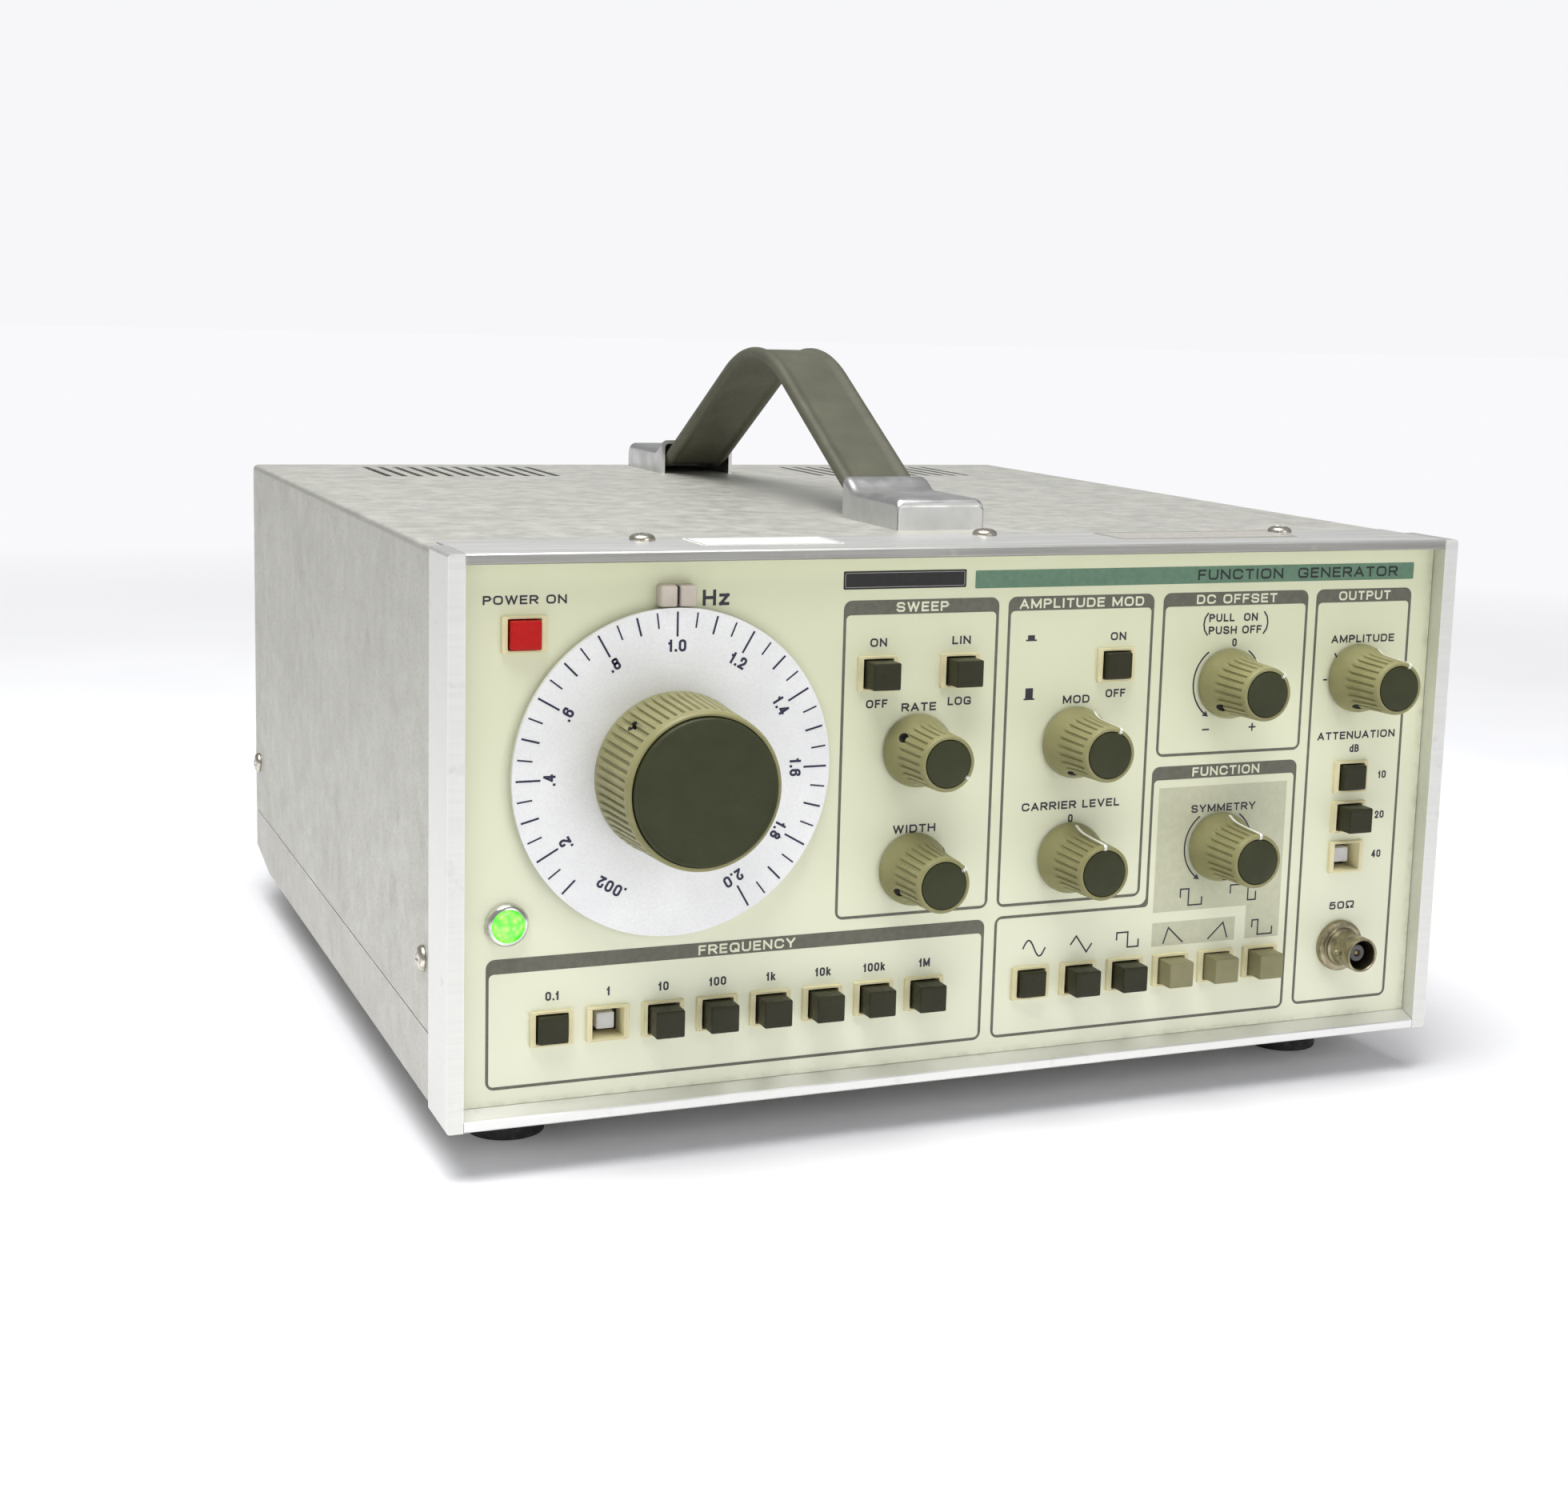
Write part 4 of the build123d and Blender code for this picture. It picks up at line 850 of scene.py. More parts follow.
def panel_legends():
    shape = Shape()
    for words, x, h, width in LEGENDS:
        lettering(shape, words, on_panel(x, h), LEGEND_CAPITAL, width)
    for node, words in RANGES.items():
        lettering(shape, words, on_panel(panel_centre(node)[0] + 0.2, RANGE_WORD_HEIGHT), 2.25)
    lettering(shape, "Hz", on_panel(-74.4, 127.9), 3.9, 6.9)
    turn_arrows(shape, "dc_offset_knob_cap", 36, 140)
    turn_arrows(shape, "symmetry_knob_cap", 36, 140)
    symbols(shape)
    button_icons(shape)
    printed(shape, "panel_legends", screen_ink("legend_ink", (42, 40, 50)))


def panel_patches():
    """The grey grounds behind the symmetry control and the wave shapes that it changes."""
    shape = Shape()
    step = ((53.4, 38.9), (83.0, 38.9), (83.0, 29.4), (93.9, 29.4), (93.9, 73.4), (53.4, 73.4))
    bar = ((53.4, 29.4), (79.6, 29.4), (79.6, 36.0), (53.4, 36.0))
    for outline in (step, bar):
        shape.add(plate(outline, INK_LOW, PATCH_TOP), PANEL)
    printed(shape, "panel_patches", screen_ink("patch_ink", (196, 197, 170), 4))


def name_strip():
    """A blank black plate and the green strip beside it, with only the kind of instrument on it."""
    shape = Shape()
    black = rounded(((-40.7, 129.1), (-6.7, 129.1), (-6.7, 133.7), (-40.7, 133.7)), 0.3, 2)
    green = rounded(((-4.1, 128.7), (131.3, 128.7), (131.3, 133.3), (-4.1, 133.3)), 0.3, 2)
    shape.add(plate(black, INK_LOW, INK_TOP), PANEL, 0)
    keyline = rounded(((-40.2, 129.6), (-7.2, 129.6), (-7.2, 133.2), (-40.2, 133.2)), 0.3, 2)
    shape.add(stroke(keyline, 0.16, INK_LOW, INK_TOP + 0.01, closed=True), PANEL, 3)
    shape.add(plate(green, INK_LOW, INK_TOP), PANEL, 1)
    lettering(shape, "FUNCTION  GENERATOR", on_panel(93.9, 131.0), 2.8, 64.0, 0.19, 2, INK_TOP + 0.02)
    inks = [
        screen_ink("strip_black", (22, 21, 23), 3),
        screen_ink("strip_green", (96, 130, 106), 6),
        screen_ink("strip_words", (22, 34, 32), 4),
        screen_ink("strip_keyline", (150, 148, 140), 4),
    ]
    printed(shape, "name_strip", *inks)


# ---------------------------------------------------------------- dial
DIAL_STEP = 7.5  # degrees for each 0.05 on the scale
TICK_START = radius_of("dial_disc") - 0.9
LABEL_RADIUS, LABEL_CAPITAL = 31.6, 3.0


def dial_scale():
    shape = Shape()
    place = on_panel(*DIAL_AT, out=reach("dial_disc"))
    for count in range(2, 41):
        angle = math.radians((count - 20) * DIAL_STEP)
        long = 6.1 if count % 4 == 0 else 4.6 if count % 2 == 0 else 3.8
        way = (math.sin(angle), math.cos(angle))
        ends = [(way[0] * r, way[1] * r) for r in (TICK_START, TICK_START - long)]
        shape.add(stroke(ends, 0.5 if count % 2 == 0 else 0.4, INK_LOW, INK_TOP), place)
    labels = {count: f"{count / 20:.1f}" for count in range(4, 44, 4)}
    for count, words in labels.items():
        dial_label(shape, words.lstrip("0"), (count - 20) * DIAL_STEP, place)
    dial_label(shape, ".002", -20 * DIAL_STEP, place)
    dress(shape.object("dial_scale"), [screen_ink("scale_ink", (30, 32, 62), 4)], "dial")


def dial_label(shape, words, degrees, place):
    up = Matrix.Translation((0, LABEL_RADIUS, 0))
    lettering(shape, words, place @ turned(degrees) @ up, LABEL_CAPITAL)


SLOT_STEPS = (0.0, 0.22, 0.29, 0.36, 0.5, 0.64, 0.71, 0.78)
SLOT_DEPTHS = (0.0, 0.0, 0.35, 1.0, 1.0, 1.0, 0.35, 0.0)


def fluted(profile, count, deep, start, end, ridge=0.0):
    """A knob skin: (radius, out) rings, cut by slots between two heights, with a ridge straight up."""
    rings = []
    for radius, out in profile:
        fade = max(0.0, min(1.0, (out - start) / 0.9, (end - out) / 0.5))
        crest = ridge * max(0.0, min(1.0, (out - 2.4) / 1.5)) if radius > 6.5 else 0.0
        points = []
        for slot in range(count):
            for phase, depth in zip(SLOT_STEPS, SLOT_DEPTHS):
                angle = 2 * math.pi * (slot + phase) / count
                near = slot == 0 and phase < 0.25 or slot == count - 1 and phase > 0.75
                bulge = crest * (1.0 if slot == 0 and phase == 0.0 else 0.75) if near else 0.0
                r = radius - deep * depth * fade + bulge
                points.append((r * math.sin(angle), r * math.cos(angle), out))
        rings.append(points)
    return loft(rings)


def run_through(p, q, r, s, t):
    """A Catmull-Rom curve's value a share t of the way from q to r."""
    square = (2 * p - 5 * q + 4 * r - s) * t * t
    cube = (3 * q - p - 3 * r + s) * t ** 3
    return 0.5 * (2 * q + (r - p) * t + square + cube)


def smooth_profile(points, per):
    """Profile points with a smooth curve run through them."""
    padded = [points[0], *points, points[-1]]
    curve = []
    for a, b, c, d in zip(padded, padded[1:], padded[2:], padded[3:]):
        for step in range(per):
            t = step / per
            curve.append(tuple(run_through(*four, t) for four in zip(a, b, c, d)))
    return curve + [points[-1]]


def dial_grip():
    """The big knob: a fine-slotted barrel with a plain rim and a set screw hole."""
    flank = [(20.4, 3.0), (20.5, 3.3), (20.5, 4.6), (20.35, 6.0), (20.25, 7.0), (20.2, 7.5), (19.6, 22.3)]
    rim = [(19.55, 22.8), (19.5, 23.4), (19.45, 24.6), (19.2, 25.3), (18.8, 25.7)]
    seat = [(18.35, 25.75), (18.2, 25.55), (18.15, 24.0)]
    made = Shape().add(fluted(flank + rim + seat, 60, 0.62, 5.2, 23.3)).object("dial_grip")
    drill(made, DIAL_HOLE, 16.1, 22.0, DIAL_HOLE_WAY)
    made.data.transform(scaled(on_panel(*DIAL_AT)))
    dress(made, [PLASTICS["khaki_plastic"], HOLE_SHADE_AND_SCREW_BLACK], "dial", ["dial_knob"])


def drill(solid, radius, start, end, way):
    """Cuts a set screw's hole into a knob's skin, its walls dark as painted shade."""
    hole = Shape().add(lathe([(radius, start), (radius, end)], 20), finish=1).object("hole")
    hole.data.transform(scaled(way))
    return carve(solid, hole)


def scaled(place):
    """A placing matrix in millimetres, as one in metres."""
    place = place.copy()
    place.translation *= MM
    return place


def dial_inlay():
    """The dial knob's cap: a dark face with a thin paler rim."""
    shape = Shape()
    place = on_panel(*DIAL_AT)
    face = [(17.9, 23.9), (17.98, 26.2), (17.9, 26.65), (17.65, 26.92), (17.3, 26.97), (17.05, 26.9)]
    face += [(16.95, 26.82), (12.0, 26.86), (6.0, 26.88), (0.4, 26.88)]
    shape.add(lathe(face, 96), place)
    made = shape.object("dial_inlay")
    dress(made, [PLASTICS["olive_plastic"]], "dial", ["dial_knob_cap"])


# ---------------------------------------------------------------- control knobs
KNOB_FLANK = (
    (9.4, 0.7), (9.5, 0.9), (9.5, 1.5), (9.36, 2.6), (9.0, 3.8), (8.5, 5.0), (8.1, 6.2), (7.85, 7.4),
    (7.7, 8.6), (7.55, 11.0), (7.42, 14.0), (7.34, 17.0), (7.3, 17.9), (7.28, 18.6), (7.2, 19.3),
    (6.95, 19.7),
)
KNOB_RIM = ((6.6, 19.84), (6.3, 19.8), (6.2, 19.6), (6.15, 18.7))


KNOB_HOLE, DIAL_HOLE = 1.3, 1.5
KNOB_HOLE_WAY = Matrix.Translation((0, 0, 6.4)) @ Matrix.Rotation(math.radians(90), 4, "X")
DIAL_HOLE_WAY = (
    turned(-45)
    @ Matrix.Translation((0, 0, 12.5))
    @ Matrix.Rotation(math.radians(-90), 4, "X")
)


def set_screw(hole, low, high, socket):
    """A screw in a hole, with a socket in its end."""
    radius = hole - 0.02
    return lathe([(radius, low), (radius, high), (socket, high + 0.1), (socket - 0.1, high - 0.3)], 20)


def set_screws():
    """The black set screws deep in the knobs' holes."""
    for name, angle in KNOBS.items():
        place = at_node(name + "_knob_cap") @ turned(angle) @ KNOB_HOLE_WAY
        shape = Shape().add(set_screw(KNOB_HOLE, 4.7, 5.5, 0.6), place)
        dress(shape.object(name + "_set_screw"), [HOLE_SHADE_AND_SCREW_BLACK], name + "_control")
    shape = Shape().add(set_screw(DIAL_HOLE, 16.2, 17.2, 0.8), on_panel(*DIAL_AT) @ DIAL_HOLE_WAY)
    dress(shape.object("dial_set_screw"), [HOLE_SHADE_AND_SCREW_BLACK], "dial")


def knob_pattern():
    """One control knob's skin, with its pointer straight up, in metres."""
    profile = smooth_profile(KNOB_FLANK, 2) + list(KNOB_RIM)
    made = Shape().add(fluted(profile, 24, 0.5, 6.4, 18.2, ridge=0.3)).object("knob_pattern")
    return drill(made, KNOB_HOLE, 4.6, 12.0, KNOB_HOLE_WAY)


def knob_grip(pattern, name, angle):
    data = pattern.data.copy()
    data.transform(scaled(at_node(name + "_knob_cap")) @ turned(angle))
    made = linked(name + "_grip", data)
    skins = [PLASTICS["khaki_plastic"], HOLE_SHADE_AND_SCREW_BLACK]
    dress(made, skins, name + "_control", [name + "_knob"])


def knob_inlay(name):
    """The dark disc set into a knob's front."""
    shape = Shape()
    face = [(6.05, 18.6), (6.08, 19.5), (5.95, 19.75), (5.7, 19.85), (3.0, 19.88), (0.3, 19.88)]
    shape.add(lathe(face, 56), at_node(name + "_knob_cap"))
    made = shape.object(name + "_inlay")
    body = name + "_control"
    dress(made, [PLASTICS["olive_plastic"]], body, [name + "_knob_cap"])


def knob_pointer(name, angle):
    """A white line down the ridge and over the rim."""
    flank = [(r, out) for r, out in smooth_profile(KNOB_FLANK, 2) if out > 3.4] + [(6.5, 19.83)]
    sections = []
    for r, out in flank:
        proud = r + 0.36 if r > 6.6 else r
        lift = 0.05 if r < 7.0 else 0.0
        top, low = (proud, out + lift), (r - 0.5, out - 0.3)
        sections.append([(-0.4, *top), (0.4, *top), (0.4, *low), (-0.4, *low)])
    shape = Shape().add(loft(sections), at_node(name + "_knob_cap") @ turned(angle))
    made = shape.object(name + "_pointer")
    paint = screen_ink("pointer_paint", (238, 238, 232), 5)
    dress(made, [paint], name + "_control")


# ---------------------------------------------------------------- buttons, bezels, lamp, index
KHAKI_BUTTONS = ("ramp_down_button", "ramp_up_button", "pulse_button")
CAP_LENGTH = 8.0
HEAD_LONG = 3.0  # short enough to stay off the switch body when pressed in
SLEEVE_END = -6.0  # where the bezels' and the lamp's sleeves end, behind the panel's face


def stem(front, back):
    """A switch's square stem between two distances out of the panel."""
    return loft([box_outline(3.0, 3.0, 0.4, out) for out in (front, back)])


def button_cap(node):
    """A push button: a block with softly rounded edges on its square stem."""
    low, high = corners(node)
    width, tall = high.x - low.x, high.z - low.z
    out = reach(node)
    shape = Shape()
    rows = [(0.9, 0.35, out - CAP_LENGTH), (0.0, 0.35, out - CAP_LENGTH + 0.5), (0.0, 0.35, out - 0.5)]
    rows += [(0.1, 0.38, out - 0.22), (0.32, 0.4, out - 0.06), (0.75, 0.42, out), (2.6, 0.42, out - 0.05)]
    shape.add(block(width, tall, rows), at_node(node))
    shape.add(stem(out - CAP_LENGTH + 0.2, PANEL_FACE - high.y), at_node(node), 1)
    slot = "khaki_button" if node in KHAKI_BUTTONS else "olive_button"
    if node == "power_button":
        slot = "red_plastic"
    made = shape.object(node.replace("_button", "_key"), crisp=40)
    dress(made, [PLASTICS[slot], PLASTICS["white_plastic"]], node, [node])


def bare_plunger(node):
    """A switch's white plunger, shown where its cap is missing."""
    low, high = corners(node)
    width, tall, out = high.x - low.x, high.z - low.z, reach(node)
    shape = Shape()
    rows = [(0.0, 0.4, out - HEAD_LONG), (0.0, 0.4, out - 0.35), (0.12, 0.4, out - 0.12), (0.4, 0.4, out)]
    shape.add(block(width, tall, rows), at_node(node))
    shape.add(stem(out + 0.2 - HEAD_LONG, PANEL_FACE - high.y), at_node(node))
    made = shape.object(node.replace("_plunger", "_post"), crisp=40)
    dress(made, [PLASTICS["white_plastic"]], node, [node])


def bezel_frames():
    """The cream frames round the buttons, each with a raised inner lip and a deep sleeve."""
    shape = Shape()
    rows = (
        (11.0, 8.9, 0.35, 0.0),
        (11.0, 8.9, 0.35, 0.75),
        (10.8, 8.7, 0.35, 1.05),
        (10.5, 8.45, 0.3, 1.1),
        (9.6, 8.25, 0.3, 0.95),
        (9.1, 8.15, 0.3, 1.0),
        (8.8, 8.0, 0.3, 1.2),
        (8.35, 7.7, 0.25, 1.2),
        (8.1, 7.5, 0.2, 0.95),
        (8.1, 7.5, 0.2, SLEEVE_END),
        (9.0, 8.3, 0.3, SLEEVE_END),
        (9.0, 8.3, 0.3, 0.0),
    )
    skin = loft([box_outline(w, t, r, at, steps=3) for w, t, r, at in rows], loop=True)
    for node in [*BUTTON_NODES, *PLUNGER_NODES]:
        shape.add(skin, at_node(node))
    made = shape.object("bezel_frames", crisp=45)
    dress(made, [PLASTICS["cream_plastic"]], "case", ["button_bezels"])


def lamp():
    place = at_node("pilot_lamp_lens")
    radius, lens = radius_of("pilot_lamp_bezel"), radius_of("pilot_lamp_lens")
    rim = [(radius, 0.0), (radius, 1.0), (radius - 0.25, 1.6), (radius - 0.7, 2.05), (radius - 1.2, 2.2)]
    rim += [(lens + 0.35, 2.0), (lens + 0.02, 1.5), (lens + 0.02, SLEEVE_END)]
    rim += [(radius - 1.1, SLEEVE_END), (radius - 1.1, 0.0)]
    bezel = Shape().add(lathe(rim, 64, loop=True), place).object("lamp_ring")
    dress(bezel, [METALS["plated_trim"]], "case", ["pilot_lamp_bezel"])
    dome = [(lens, -5.0), (lens, 1.5), (lens - 0.25, 2.0), (lens - 0.9, 2.55), (lens - 1.8, 3.0)]
    dome += [(lens - 2.8, 3.25), (0.3, 3.38)]
    glass = Shape().add(lathe(dome, 48), place).object("lamp_lens")
    dress(glass, [lamp_glow()], "case", ["pilot_lamp_lens"])


def scale_index():
    """Two soft-edged blocks with a black hair line between them."""
    low, high = corners("dial_index")
    width, tall, out = high.x - low.x, high.z - low.z, reach("dial_index")
    place = at_node("dial_index")
    half = (width - 0.7) / 2
    rows = [(0, 0.5, 0.0), (0, 0.5, out - 1.0), (0.2, 0.5, out - 0.45), (0.6, 0.55, out - 0.12)]
    rows += [(1.2, 0.6, out)]
    shape = Shape()
    for side in (-1, 1):
        shape.add(block(half, tall, rows, (side * (width - half) / 2, 0)), place)
    shape.add(block(0.9, tall - 0.6, [(0, 0.1, 0.0), (0, 0.1, out - 1.3)]), place, 1)
    made = shape.object("index_blocks", crisp=45)
    inks = [PLASTICS["index_plastic"], screen_ink("index_ink", (20, 20, 24), 3)]
    dress(made, inks, "case", ["dial_index"])


# ---------------------------------------------------------------- sockets
SHELL_PROFILE = (
    (7.0, 0.0), (7.2, 0.2), (7.2, 1.3), (7.0, 1.75), (6.6, 2.0), (5.6, 2.05), (5.35, 2.3), (5.3, 3.0),
    (4.75, 3.5), (4.6, 4.0), (4.6, 8.1), (4.75, 8.3), (4.85, 8.6), (4.85, 11.6), (4.7, 11.95), (4.35, 12.0),
    (4.1, 11.7), (4.1, 2.0), (4.1, -2.0), (4.5, -2.0), (4.5, 0.0),
)
OUTPUT_AT = (114.1, 25.2)
REAR_SOCKETS = [(x, 34.0) for x in (-60.0, -20.0, 20.0, 60.0)]


def sockets():
    """The five bayonet sockets: shells with lugs, then insulators and contacts."""
    places = [on_panel(*OUTPUT_AT)] + [on_rear(x, h) for x, h in REAR_SOCKETS]
    shells, cores = Shape(), Shape()
    lug = lathe([(0.95, 4.2), (0.95, 5.5), (0.75, 5.85), (0.3, 5.9)], 16)
    for place in places:
        shells.add(lathe(SHELL_PROFILE, 64, loop=True), place)
        for side in (-90, 90):
            spin = Matrix.Translation((0, 0, 7.0)) @ Matrix.Rotation(math.radians(side), 4, "Y")
            shells.add(lug, place @ spin)
        cores.add(lathe([(4.09, -2.0), (4.09, 3.0), (3.6, 3.1), (2.5, 3.15), (2.4, 3.6), (2.4, 8.8),
                         (2.25, 9.3), (1.15, 9.45), (0.95, 9.2), (0.95, 6.5)], 40), place)
        cores.add(lathe([(0.72, 6.0), (0.72, 8.7), (0.55, 8.9), (0.3, 8.9)], 16), place, 1)
        cores.add(lathe([(4.08, 3.05), (4.08, 3.3), (2.6, 3.3), (2.6, 3.05)], 40, loop=True), place, 2)
    shell = shells.object("socket_shells", crisp=30)
    dress(shell, [METALS["nickel"]], "case", ["bnc_connectors"])
    inks = [
        moulded_plastic("insulator", (104, 104, 104), 8, 0.5),
        plated_metal("contact_gilt", (150, 130, 80), (110, 92, 52), 0.3),
        moulded_plastic("socket_black", (14, 14, 14), 3, 0.6),
    ]
    dress(cores.object("socket_cores"), inks, "case")


# ---------------------------------------------------------------- screws, stickers
TOP_SCREWS = ((-87.0, 25.0), (9.0, 27.0), (100.0, 25.0))
SIDE_SCREWS = (27.0, 281.0)
SIDE_SCREW_HEIGHT = 36.5
HEAD_RADIUS, HEAD_TALL = 3.3, 1.8


def screw_pattern():
    """A pan head with a cross recess, in metres."""
    dome = [(1.9, -1.5), (1.9, 0.0), (HEAD_RADIUS - 0.1, 0.0), (HEAD_RADIUS, 0.15), (HEAD_RADIUS, 0.55)]
    dome += [(3.1, 0.95), (2.7, 1.3), (2.1, 1.57), (1.4, 1.72), (0.5, HEAD_TALL - 0.01)]
    made = Shape().add(lathe(dome, 40)).object("screw_pattern")
    for turn in (0, 90):
        blade = Shape()
        rows = [(2.0, 0.5, 0.55), (3.4, 0.75, 2.2)]
        blade.add(loft([box_outline(w, t, 0.1, at, steps=1) for w, t, at in rows]), turned(-turn))
        carve(made, blade.object("blade"))
    return made


def cover_screws():
    pattern = screw_pattern()
    places = [on_top(x, depth) for x, depth in TOP_SCREWS]
    places += [on_side(side, depth, SIDE_SCREW_HEIGHT) for side in (-1, 1) for depth in SIDE_SCREWS]
    joined = bmesh.new()
    for place in places:
        data = pattern.data.copy()
        data.transform(scaled(place @ Matrix.Rotation(random.uniform(0, 1.5), 4, "Z")))
        joined.from_mesh(data)
    data = bpy.data.meshes.new("pan_screws")
    joined.to_mesh(data)
    joined.free()
    made = linked("pan_screws", data)
    bpy.data.objects.remove(pattern)
    dress(made, [METALS["screw_plating"]], "case", ["cover_screws"])


STICKERS = {  # middle, size and colour
    "white_sticker": ((-57.0, 19.0), (38.0, 17.0), (228, 228, 224)),
    "silver_sticker": ((70.0, 20.5), (56.0, 17.0), (168, 165, 158)),
}


def blank_stickers():
    for name, (middle, size, colour) in STICKERS.items():
        place = on_top(*middle)
        shape = Shape().add(plate(box_outline(*size, 1.2, 0), -0.02, 0.12), place)
        keyline = [(x, y) for x, y, _ in box_outline(size[0] - 1.6, size[1] - 1.6, 0.8, 0)]
        shape.add(stroke(keyline, 0.5, -0.02, 0.14, closed=True), place, 1)
        made = shape.object(name)
        edge = [channel * 2 // 3 for channel in colour]
        inks = [screen_ink(name + "_paper", colour, 8), screen_ink(name + "_edge", edge, 5)]
        dress(made, inks, "case")


# ---------------------------------------------------------------- handle
CAP_LONG, CAP_WIDE, CAP_ROOF, CAP_MOUTH = 38.0, 26.0, 8.4, 11.6
CAP_WALL = 1.2
CAP_BACK_RADIUS = 2.2
CAPS_LOW, CAPS_HIGH = corners("handle_end_caps")
HANDLE_X = (CAPS_LOW.x + CAPS_HIGH.x) / 2
CAP_ENDS = (CAPS_LOW.y, CAPS_HIGH.y)


def cap_section(along, inset):
    """The arch of an end cap at one place along it: points from one foot over the roof to the other."""
    rise = max(0.0, along - (CAP_LONG - 8.0)) / 8.0
    roof = CAP_ROOF + (CAP_MOUTH - CAP_ROOF) * rise * rise * (3 - 2 * rise) - inset
    back = max(0.0, CAP_BACK_RADIUS - along)
    roof -= CAP_BACK_RADIUS - math.sqrt(max(0.0, CAP_BACK_RADIUS ** 2 - back ** 2))
    half = CAP_WIDE / 2 - inset
    radius = 2.0 - inset * 0.6
    arch = corner_arc(Vector((-half, 0)), Vector((-half, roof)), Vector((half, roof)), radius, 6)
    arch += corner_arc(Vector((-half, roof)), Vector((half, roof)), Vector((half, 0)), radius, 6)
    return [(-half, 0.0), *[tuple(point) for point in arch], (half, 0.0)]


def end_caps():
    """Pressed shells over the strap's ends, rounded at the back and flared at the mouth."""
    shape = Shape()
    stations = (0.0, 0.15, 0.5, 1.0, 1.6, 2.2, 6.0, 14.0, 24.0, 30.0, 31.5, 33.0, 34.5, 36.0, 37.2, 38.0)
    for side, end in zip((1, -1), CAP_ENDS):
        place = surface((HANDLE_X, end, COVER_TOP), (side, 0, 0), (0, 0, 1))
        loops = []
        for along in stations:
            loops.append([(x, y, -along) for x, y in cap_section(along, 0.0)])
        for along in reversed(stations):
            deep = max(along, CAP_WALL)
            loops.append([(x, y, -deep) for x, y in cap_section(deep, CAP_WALL)])
        shape.add(open_shell(loops), place)
        shape.add(back_wall(), place)
    made = shape.object("cap_shells", crisp=50)
    dress(made, [METALS["cap_plating"]], "case", ["handle_end_caps"])


def open_shell(loops):
    """A skin over open rows, joined into a closed tube round them and filled along both feet."""
    count = len(loops[0])
    points = [point for row in loops for point in row]
    faces = []
    for row in range(len(loops)):
        a, b = row * count, (row + 1) % len(loops) * count
        for i in range(count - 1):
            faces.append((a + i, a + i + 1, b + i + 1, b + i))
    half = len(loops) // 2
    for i in (0, count - 1):
        for row in range(half - 1):
            other = len(loops) - 1 - row
            faces.append([at * count + i for at in (row, row + 1, other - 1, other)])
    return points, faces


def back_wall():
    """The closed end of a cap."""
    return plate(cap_section(0.6, 0.35), -0.1, -CAP_WALL - 0.2)


STRAP_WIDE, STRAP_THICK = 22.6, 4.0
STRAP_BASE, STRAP_RISE = 4.2, 47.0
STRAP_TUCK = 10.0
STRAP_RADII = (12.0, 50.0, 12.0)


def strap_line():
    """The strap's middle line, (y, z), with rounded turns."""
    low = COVER_TOP + STRAP_BASE
    front, back = CAP_ENDS
    points = [
        Vector((front + STRAP_TUCK, low)),
        Vector((front + CAP_LONG - 4.0, low)),
        Vector(((front + back) / 2, low + STRAP_RISE)),
        Vector((back - CAP_LONG + 4.0, low)),
        Vector((back - STRAP_TUCK, low)),
    ]
    line = [points[0]]
    for before, corner, after, radius in zip(points, points[1:], points[2:], STRAP_RADII):
        line += corner_arc(before, corner, after, radius, 16)
    return line + [points[-1]]


def strap_section():
    """Across the strap: a thin web between two round beads, as (across, up) points."""
    bead, web = STRAP_THICK / 2 - 0.02, 1.3
    at = STRAP_WIDE / 2 - bead
    angles = [math.radians(140 - 280 * step / 14) for step in range(15)]
    right = [(at + bead * math.cos(a), bead * math.sin(a)) for a in angles]
    left = [(-x, -y) for x, y in right]
    upper = [(x, web) for x in (-at + bead + 0.9, -4.0, 4.0, at - bead - 0.9)]
    lower = [(-x, -web) for x, _ in upper]
    return upper + right + lower + left


def strap():
    line = strap_line()
    section = strap_section()
    rows = []
    for index, point in enumerate(line):
        before = line[max(0, index - 1)]
        after = line[min(len(line) - 1, index + 1)]
        way = (after - before).normalized()
        up = Vector((-way.y, way.x))
        rows.append([(HANDLE_X + x, point.x + up.x * y, point.y + up.y * y) for x, y in section])
    made = Shape().add(loft(rows)).object("carry_strap", crisp=50)
    dress(made, [strap_vinyl()], "case", ["handle_strap"])


# ---------------------------------------------------------------- CAD nodes that stay in view
def give(node, material):
    """Puts one material on every slot of a CAD node."""
    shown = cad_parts[node]
    if not shown.material_slots:
        shown.data.materials.append(material)
    for slot in shown.material_slots:
        slot.material = material


def finish_nodes():
    give("front_panel", panel_enamel())
    give("frame_side_rails", anodised_rail("side_rail", (226, 226, 222), (214, 214, 210)))
    cross = anodised_rail("cross_rail", (238, 238, 236), (234, 234, 231), painted_shade_above=BASE + 100)
    give("frame_cross_rails", cross)
    give("top_cover", case_sheet("cover_sheet", (192, 191, 183), (158, 157, 144)))
    give("bottom_cover", case_sheet("pan_sheet", (194, 192, 185), (164, 161, 150)))
    give("rear_panel", case_sheet("rear_sheet", (186, 185, 180), (156, 154, 146)))
    give("rear_posts", PLASTICS["grey_plastic"])
    give("mains_inlet", PLASTICS["black_plastic"])
    give("dial_disc", METALS["dial_aluminium"])
    give("dc_offset_pull_shaft", METALS["steel_shaft"])
    give("switch_bodies", moulded_plastic("switch_grey", (112, 112, 110), 10, 0.5))
    give("potentiometers", METALS["steel_shaft"])
    give("circuit_boards", board_laminate())
    give("power_transformer", stacked_iron())
    give("base_feet", rubber())


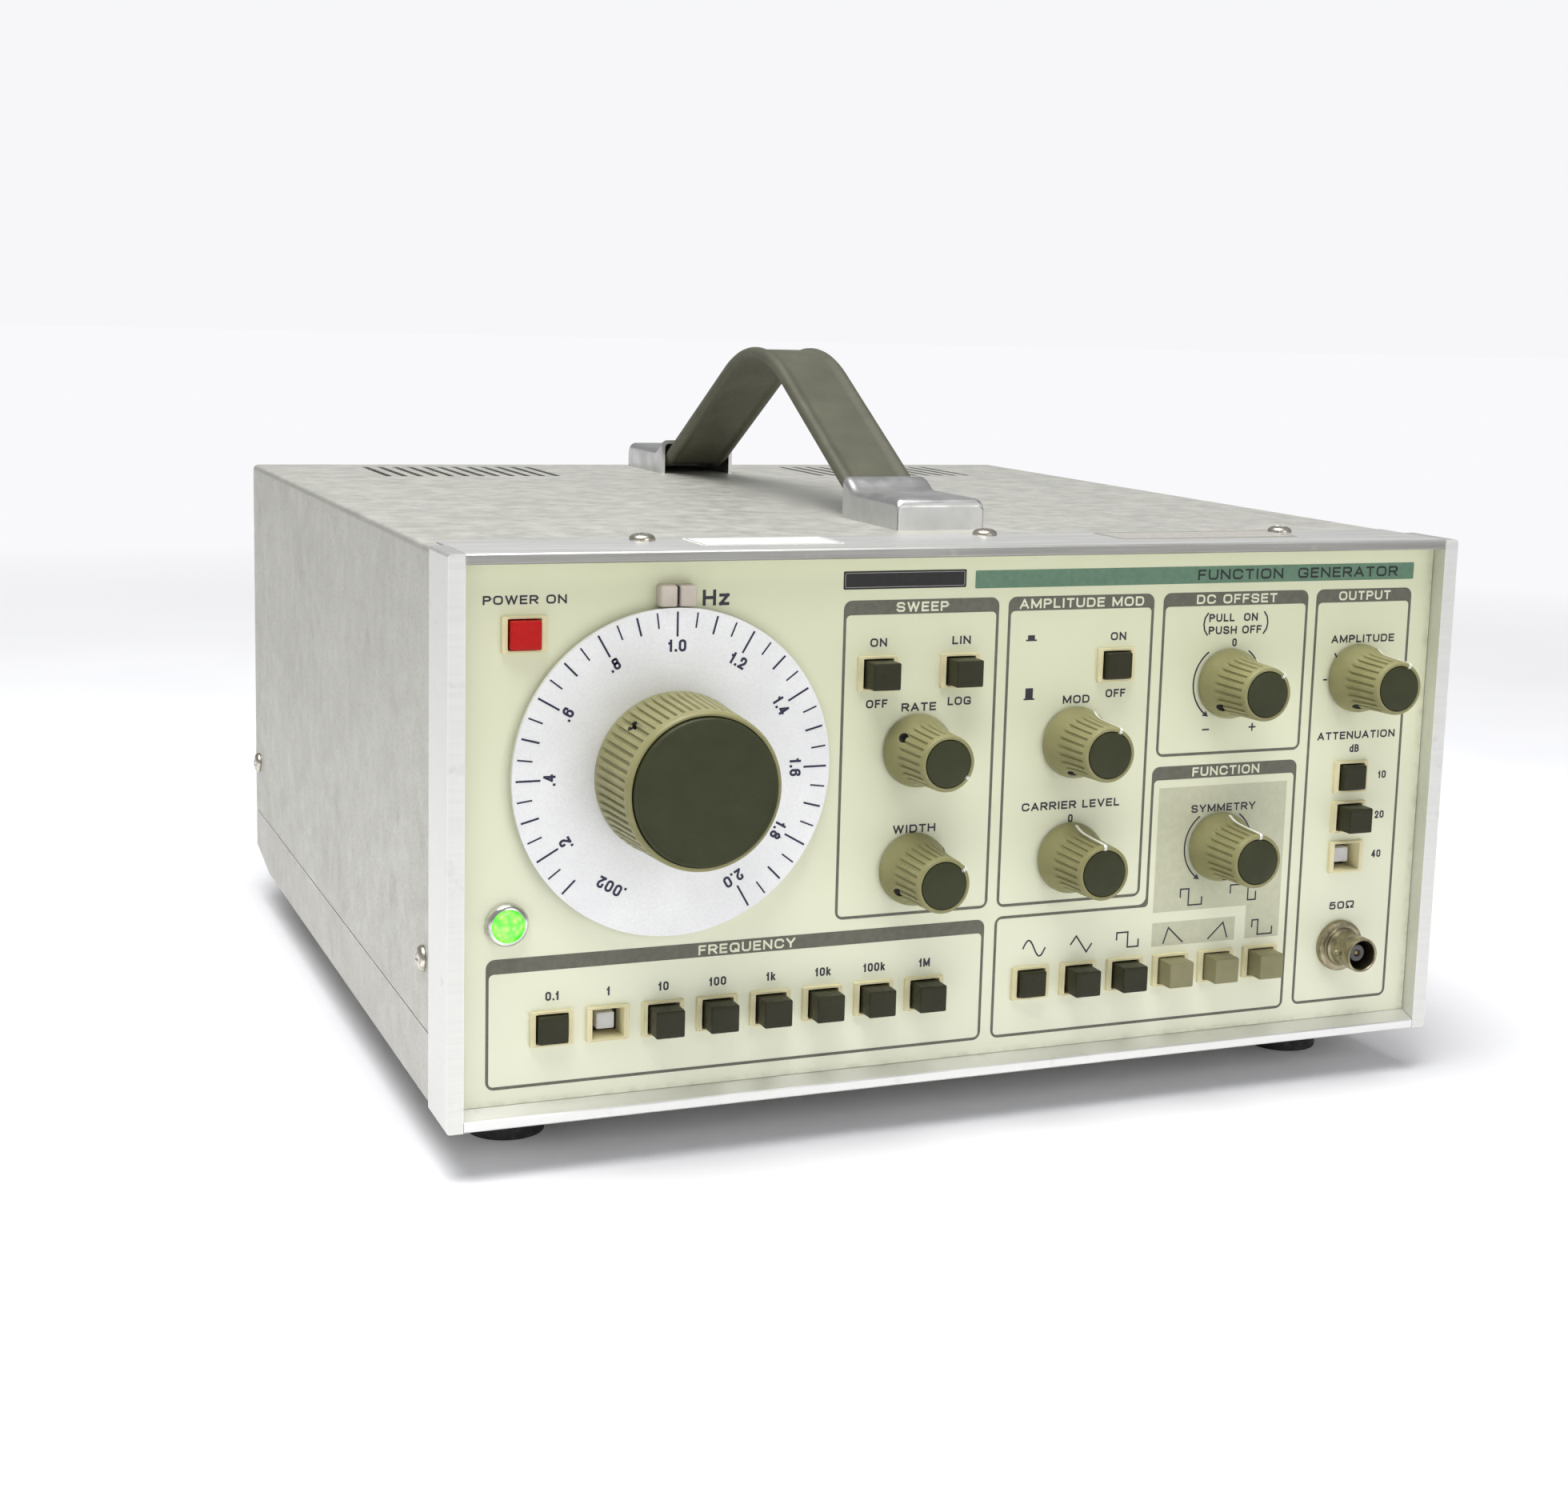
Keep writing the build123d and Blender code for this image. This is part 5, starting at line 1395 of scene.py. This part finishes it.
# ---------------------------------------------------------------- stage
def set_camera():
    data = bpy.data.cameras.new("camera")
    data.lens = 53.055
    data.sensor_width = 36
    data.shift_x = -0.0263
    data.shift_y = -0.0495
    camera = linked("camera", data)
    camera.location = (-0.26586, -0.66358, 0.21186)
    camera.rotation_euler = [math.radians(angle) for angle in (80.942, -1.6375, -22.498)]
    bpy.context.scene.camera = camera


def area_light(name, place, aim, size, power):
    data = bpy.data.lights.new(name, "AREA")
    data.shape = "RECTANGLE"
    data.size, data.size_y = size
    data.energy = power
    light = linked(name, data)
    light.location = place
    light.rotation_euler = (Vector(aim) - Vector(place)).to_track_quat("-Z", "Y").to_euler()


FLOOR_HALF = 12.0
WORLD_STRENGTH = 0.34


def floor_paper():
    """White paper that glows as bright as the backdrop far from the object, so that no horizon shows."""
    paper = Finish("floor_paper", Metallic=0.0, Roughness=0.9)
    paper.paint(paper.mix(paper.cloud(180, 3), tone(244, 244, 247), tone(250, 250, 252)))
    across = paper.node("Mapping", {"Vector": paper.places, "Scale": (1, 1, 0)}).outputs[0]
    far = paper.node("VectorMath", {0: across}, operation="LENGTH").outputs["Value"]
    glow = paper.node("Emission", {"Color": tone(249, 249, 251)}).outputs[0]
    blend = paper.node("MixShader", {0: paper.between(far, 0.5, 1.3), 1: paper.shader.outputs[0], 2: glow})
    paper.tree.links.new(blend.outputs[0], paper.tree.nodes["Material Output"].inputs["Surface"])
    return paper.material


def set_floor():
    data = bpy.data.meshes.new("floor")
    ends = [(x * FLOOR_HALF, y * FLOOR_HALF, 0) for x, y in ((-1, -1), (1, -1), (1, 1), (-1, 1))]
    data.from_pydata(ends, [], [(0, 1, 2, 3)])
    data.materials.append(floor_paper())
    floor = linked("floor", data)


def set_world():
    """An even sky that lights the object, and a white backdrop that only the camera sees."""
    world = bpy.data.worlds.new("studio")
    world.use_nodes = True
    nodes, links = world.node_tree.nodes, world.node_tree.links
    sky = nodes["Background"]
    sky.inputs["Color"].default_value = (0.95, 0.96, 0.98, 1)
    sky.inputs["Strength"].default_value = WORLD_STRENGTH
    backdrop = nodes.new("ShaderNodeBackground")
    backdrop.inputs["Color"].default_value = tone(247, 247, 250)
    seen = nodes.new("ShaderNodeLightPath")
    either = nodes.new("ShaderNodeMixShader")
    links.new(seen.outputs["Is Camera Ray"], either.inputs[0])
    links.new(sky.outputs[0], either.inputs[1])
    links.new(backdrop.outputs[0], either.inputs[2])
    links.new(either.outputs[0], nodes["World Output"].inputs["Surface"])
    bpy.context.scene.world = world


def set_lights():
    area_light("overhead", (-0.3, -0.25, 1.5), (0, 0, 0.1), (1.1, 1.1), 30)
    area_light("fill", (0.6, -1.7, 0.8), (0, -0.1, 0.1), (1.0, 0.8), 5)
    bpy.context.scene.view_settings.view_transform = "Standard"


# ---------------------------------------------------------------- build
set_camera()
set_floor()
set_world()
set_lights()
finish_nodes()
panel_outlines()
panel_patches()
header_words()
panel_legends()
name_strip()
dial_scale()
dial_grip()
dial_inlay()
knob = knob_pattern()
for name, angle in KNOBS.items():
    knob_grip(knob, name, angle)
    knob_inlay(name)
    knob_pointer(name, angle)
bpy.data.objects.remove(knob)
set_screws()
for node in BUTTON_NODES:
    button_cap(node)
for node in PLUNGER_NODES:
    bare_plunger(node)
bezel_frames()
lamp()
scale_index()
sockets()
cover_screws()
blank_stickers()
end_caps()
strap()
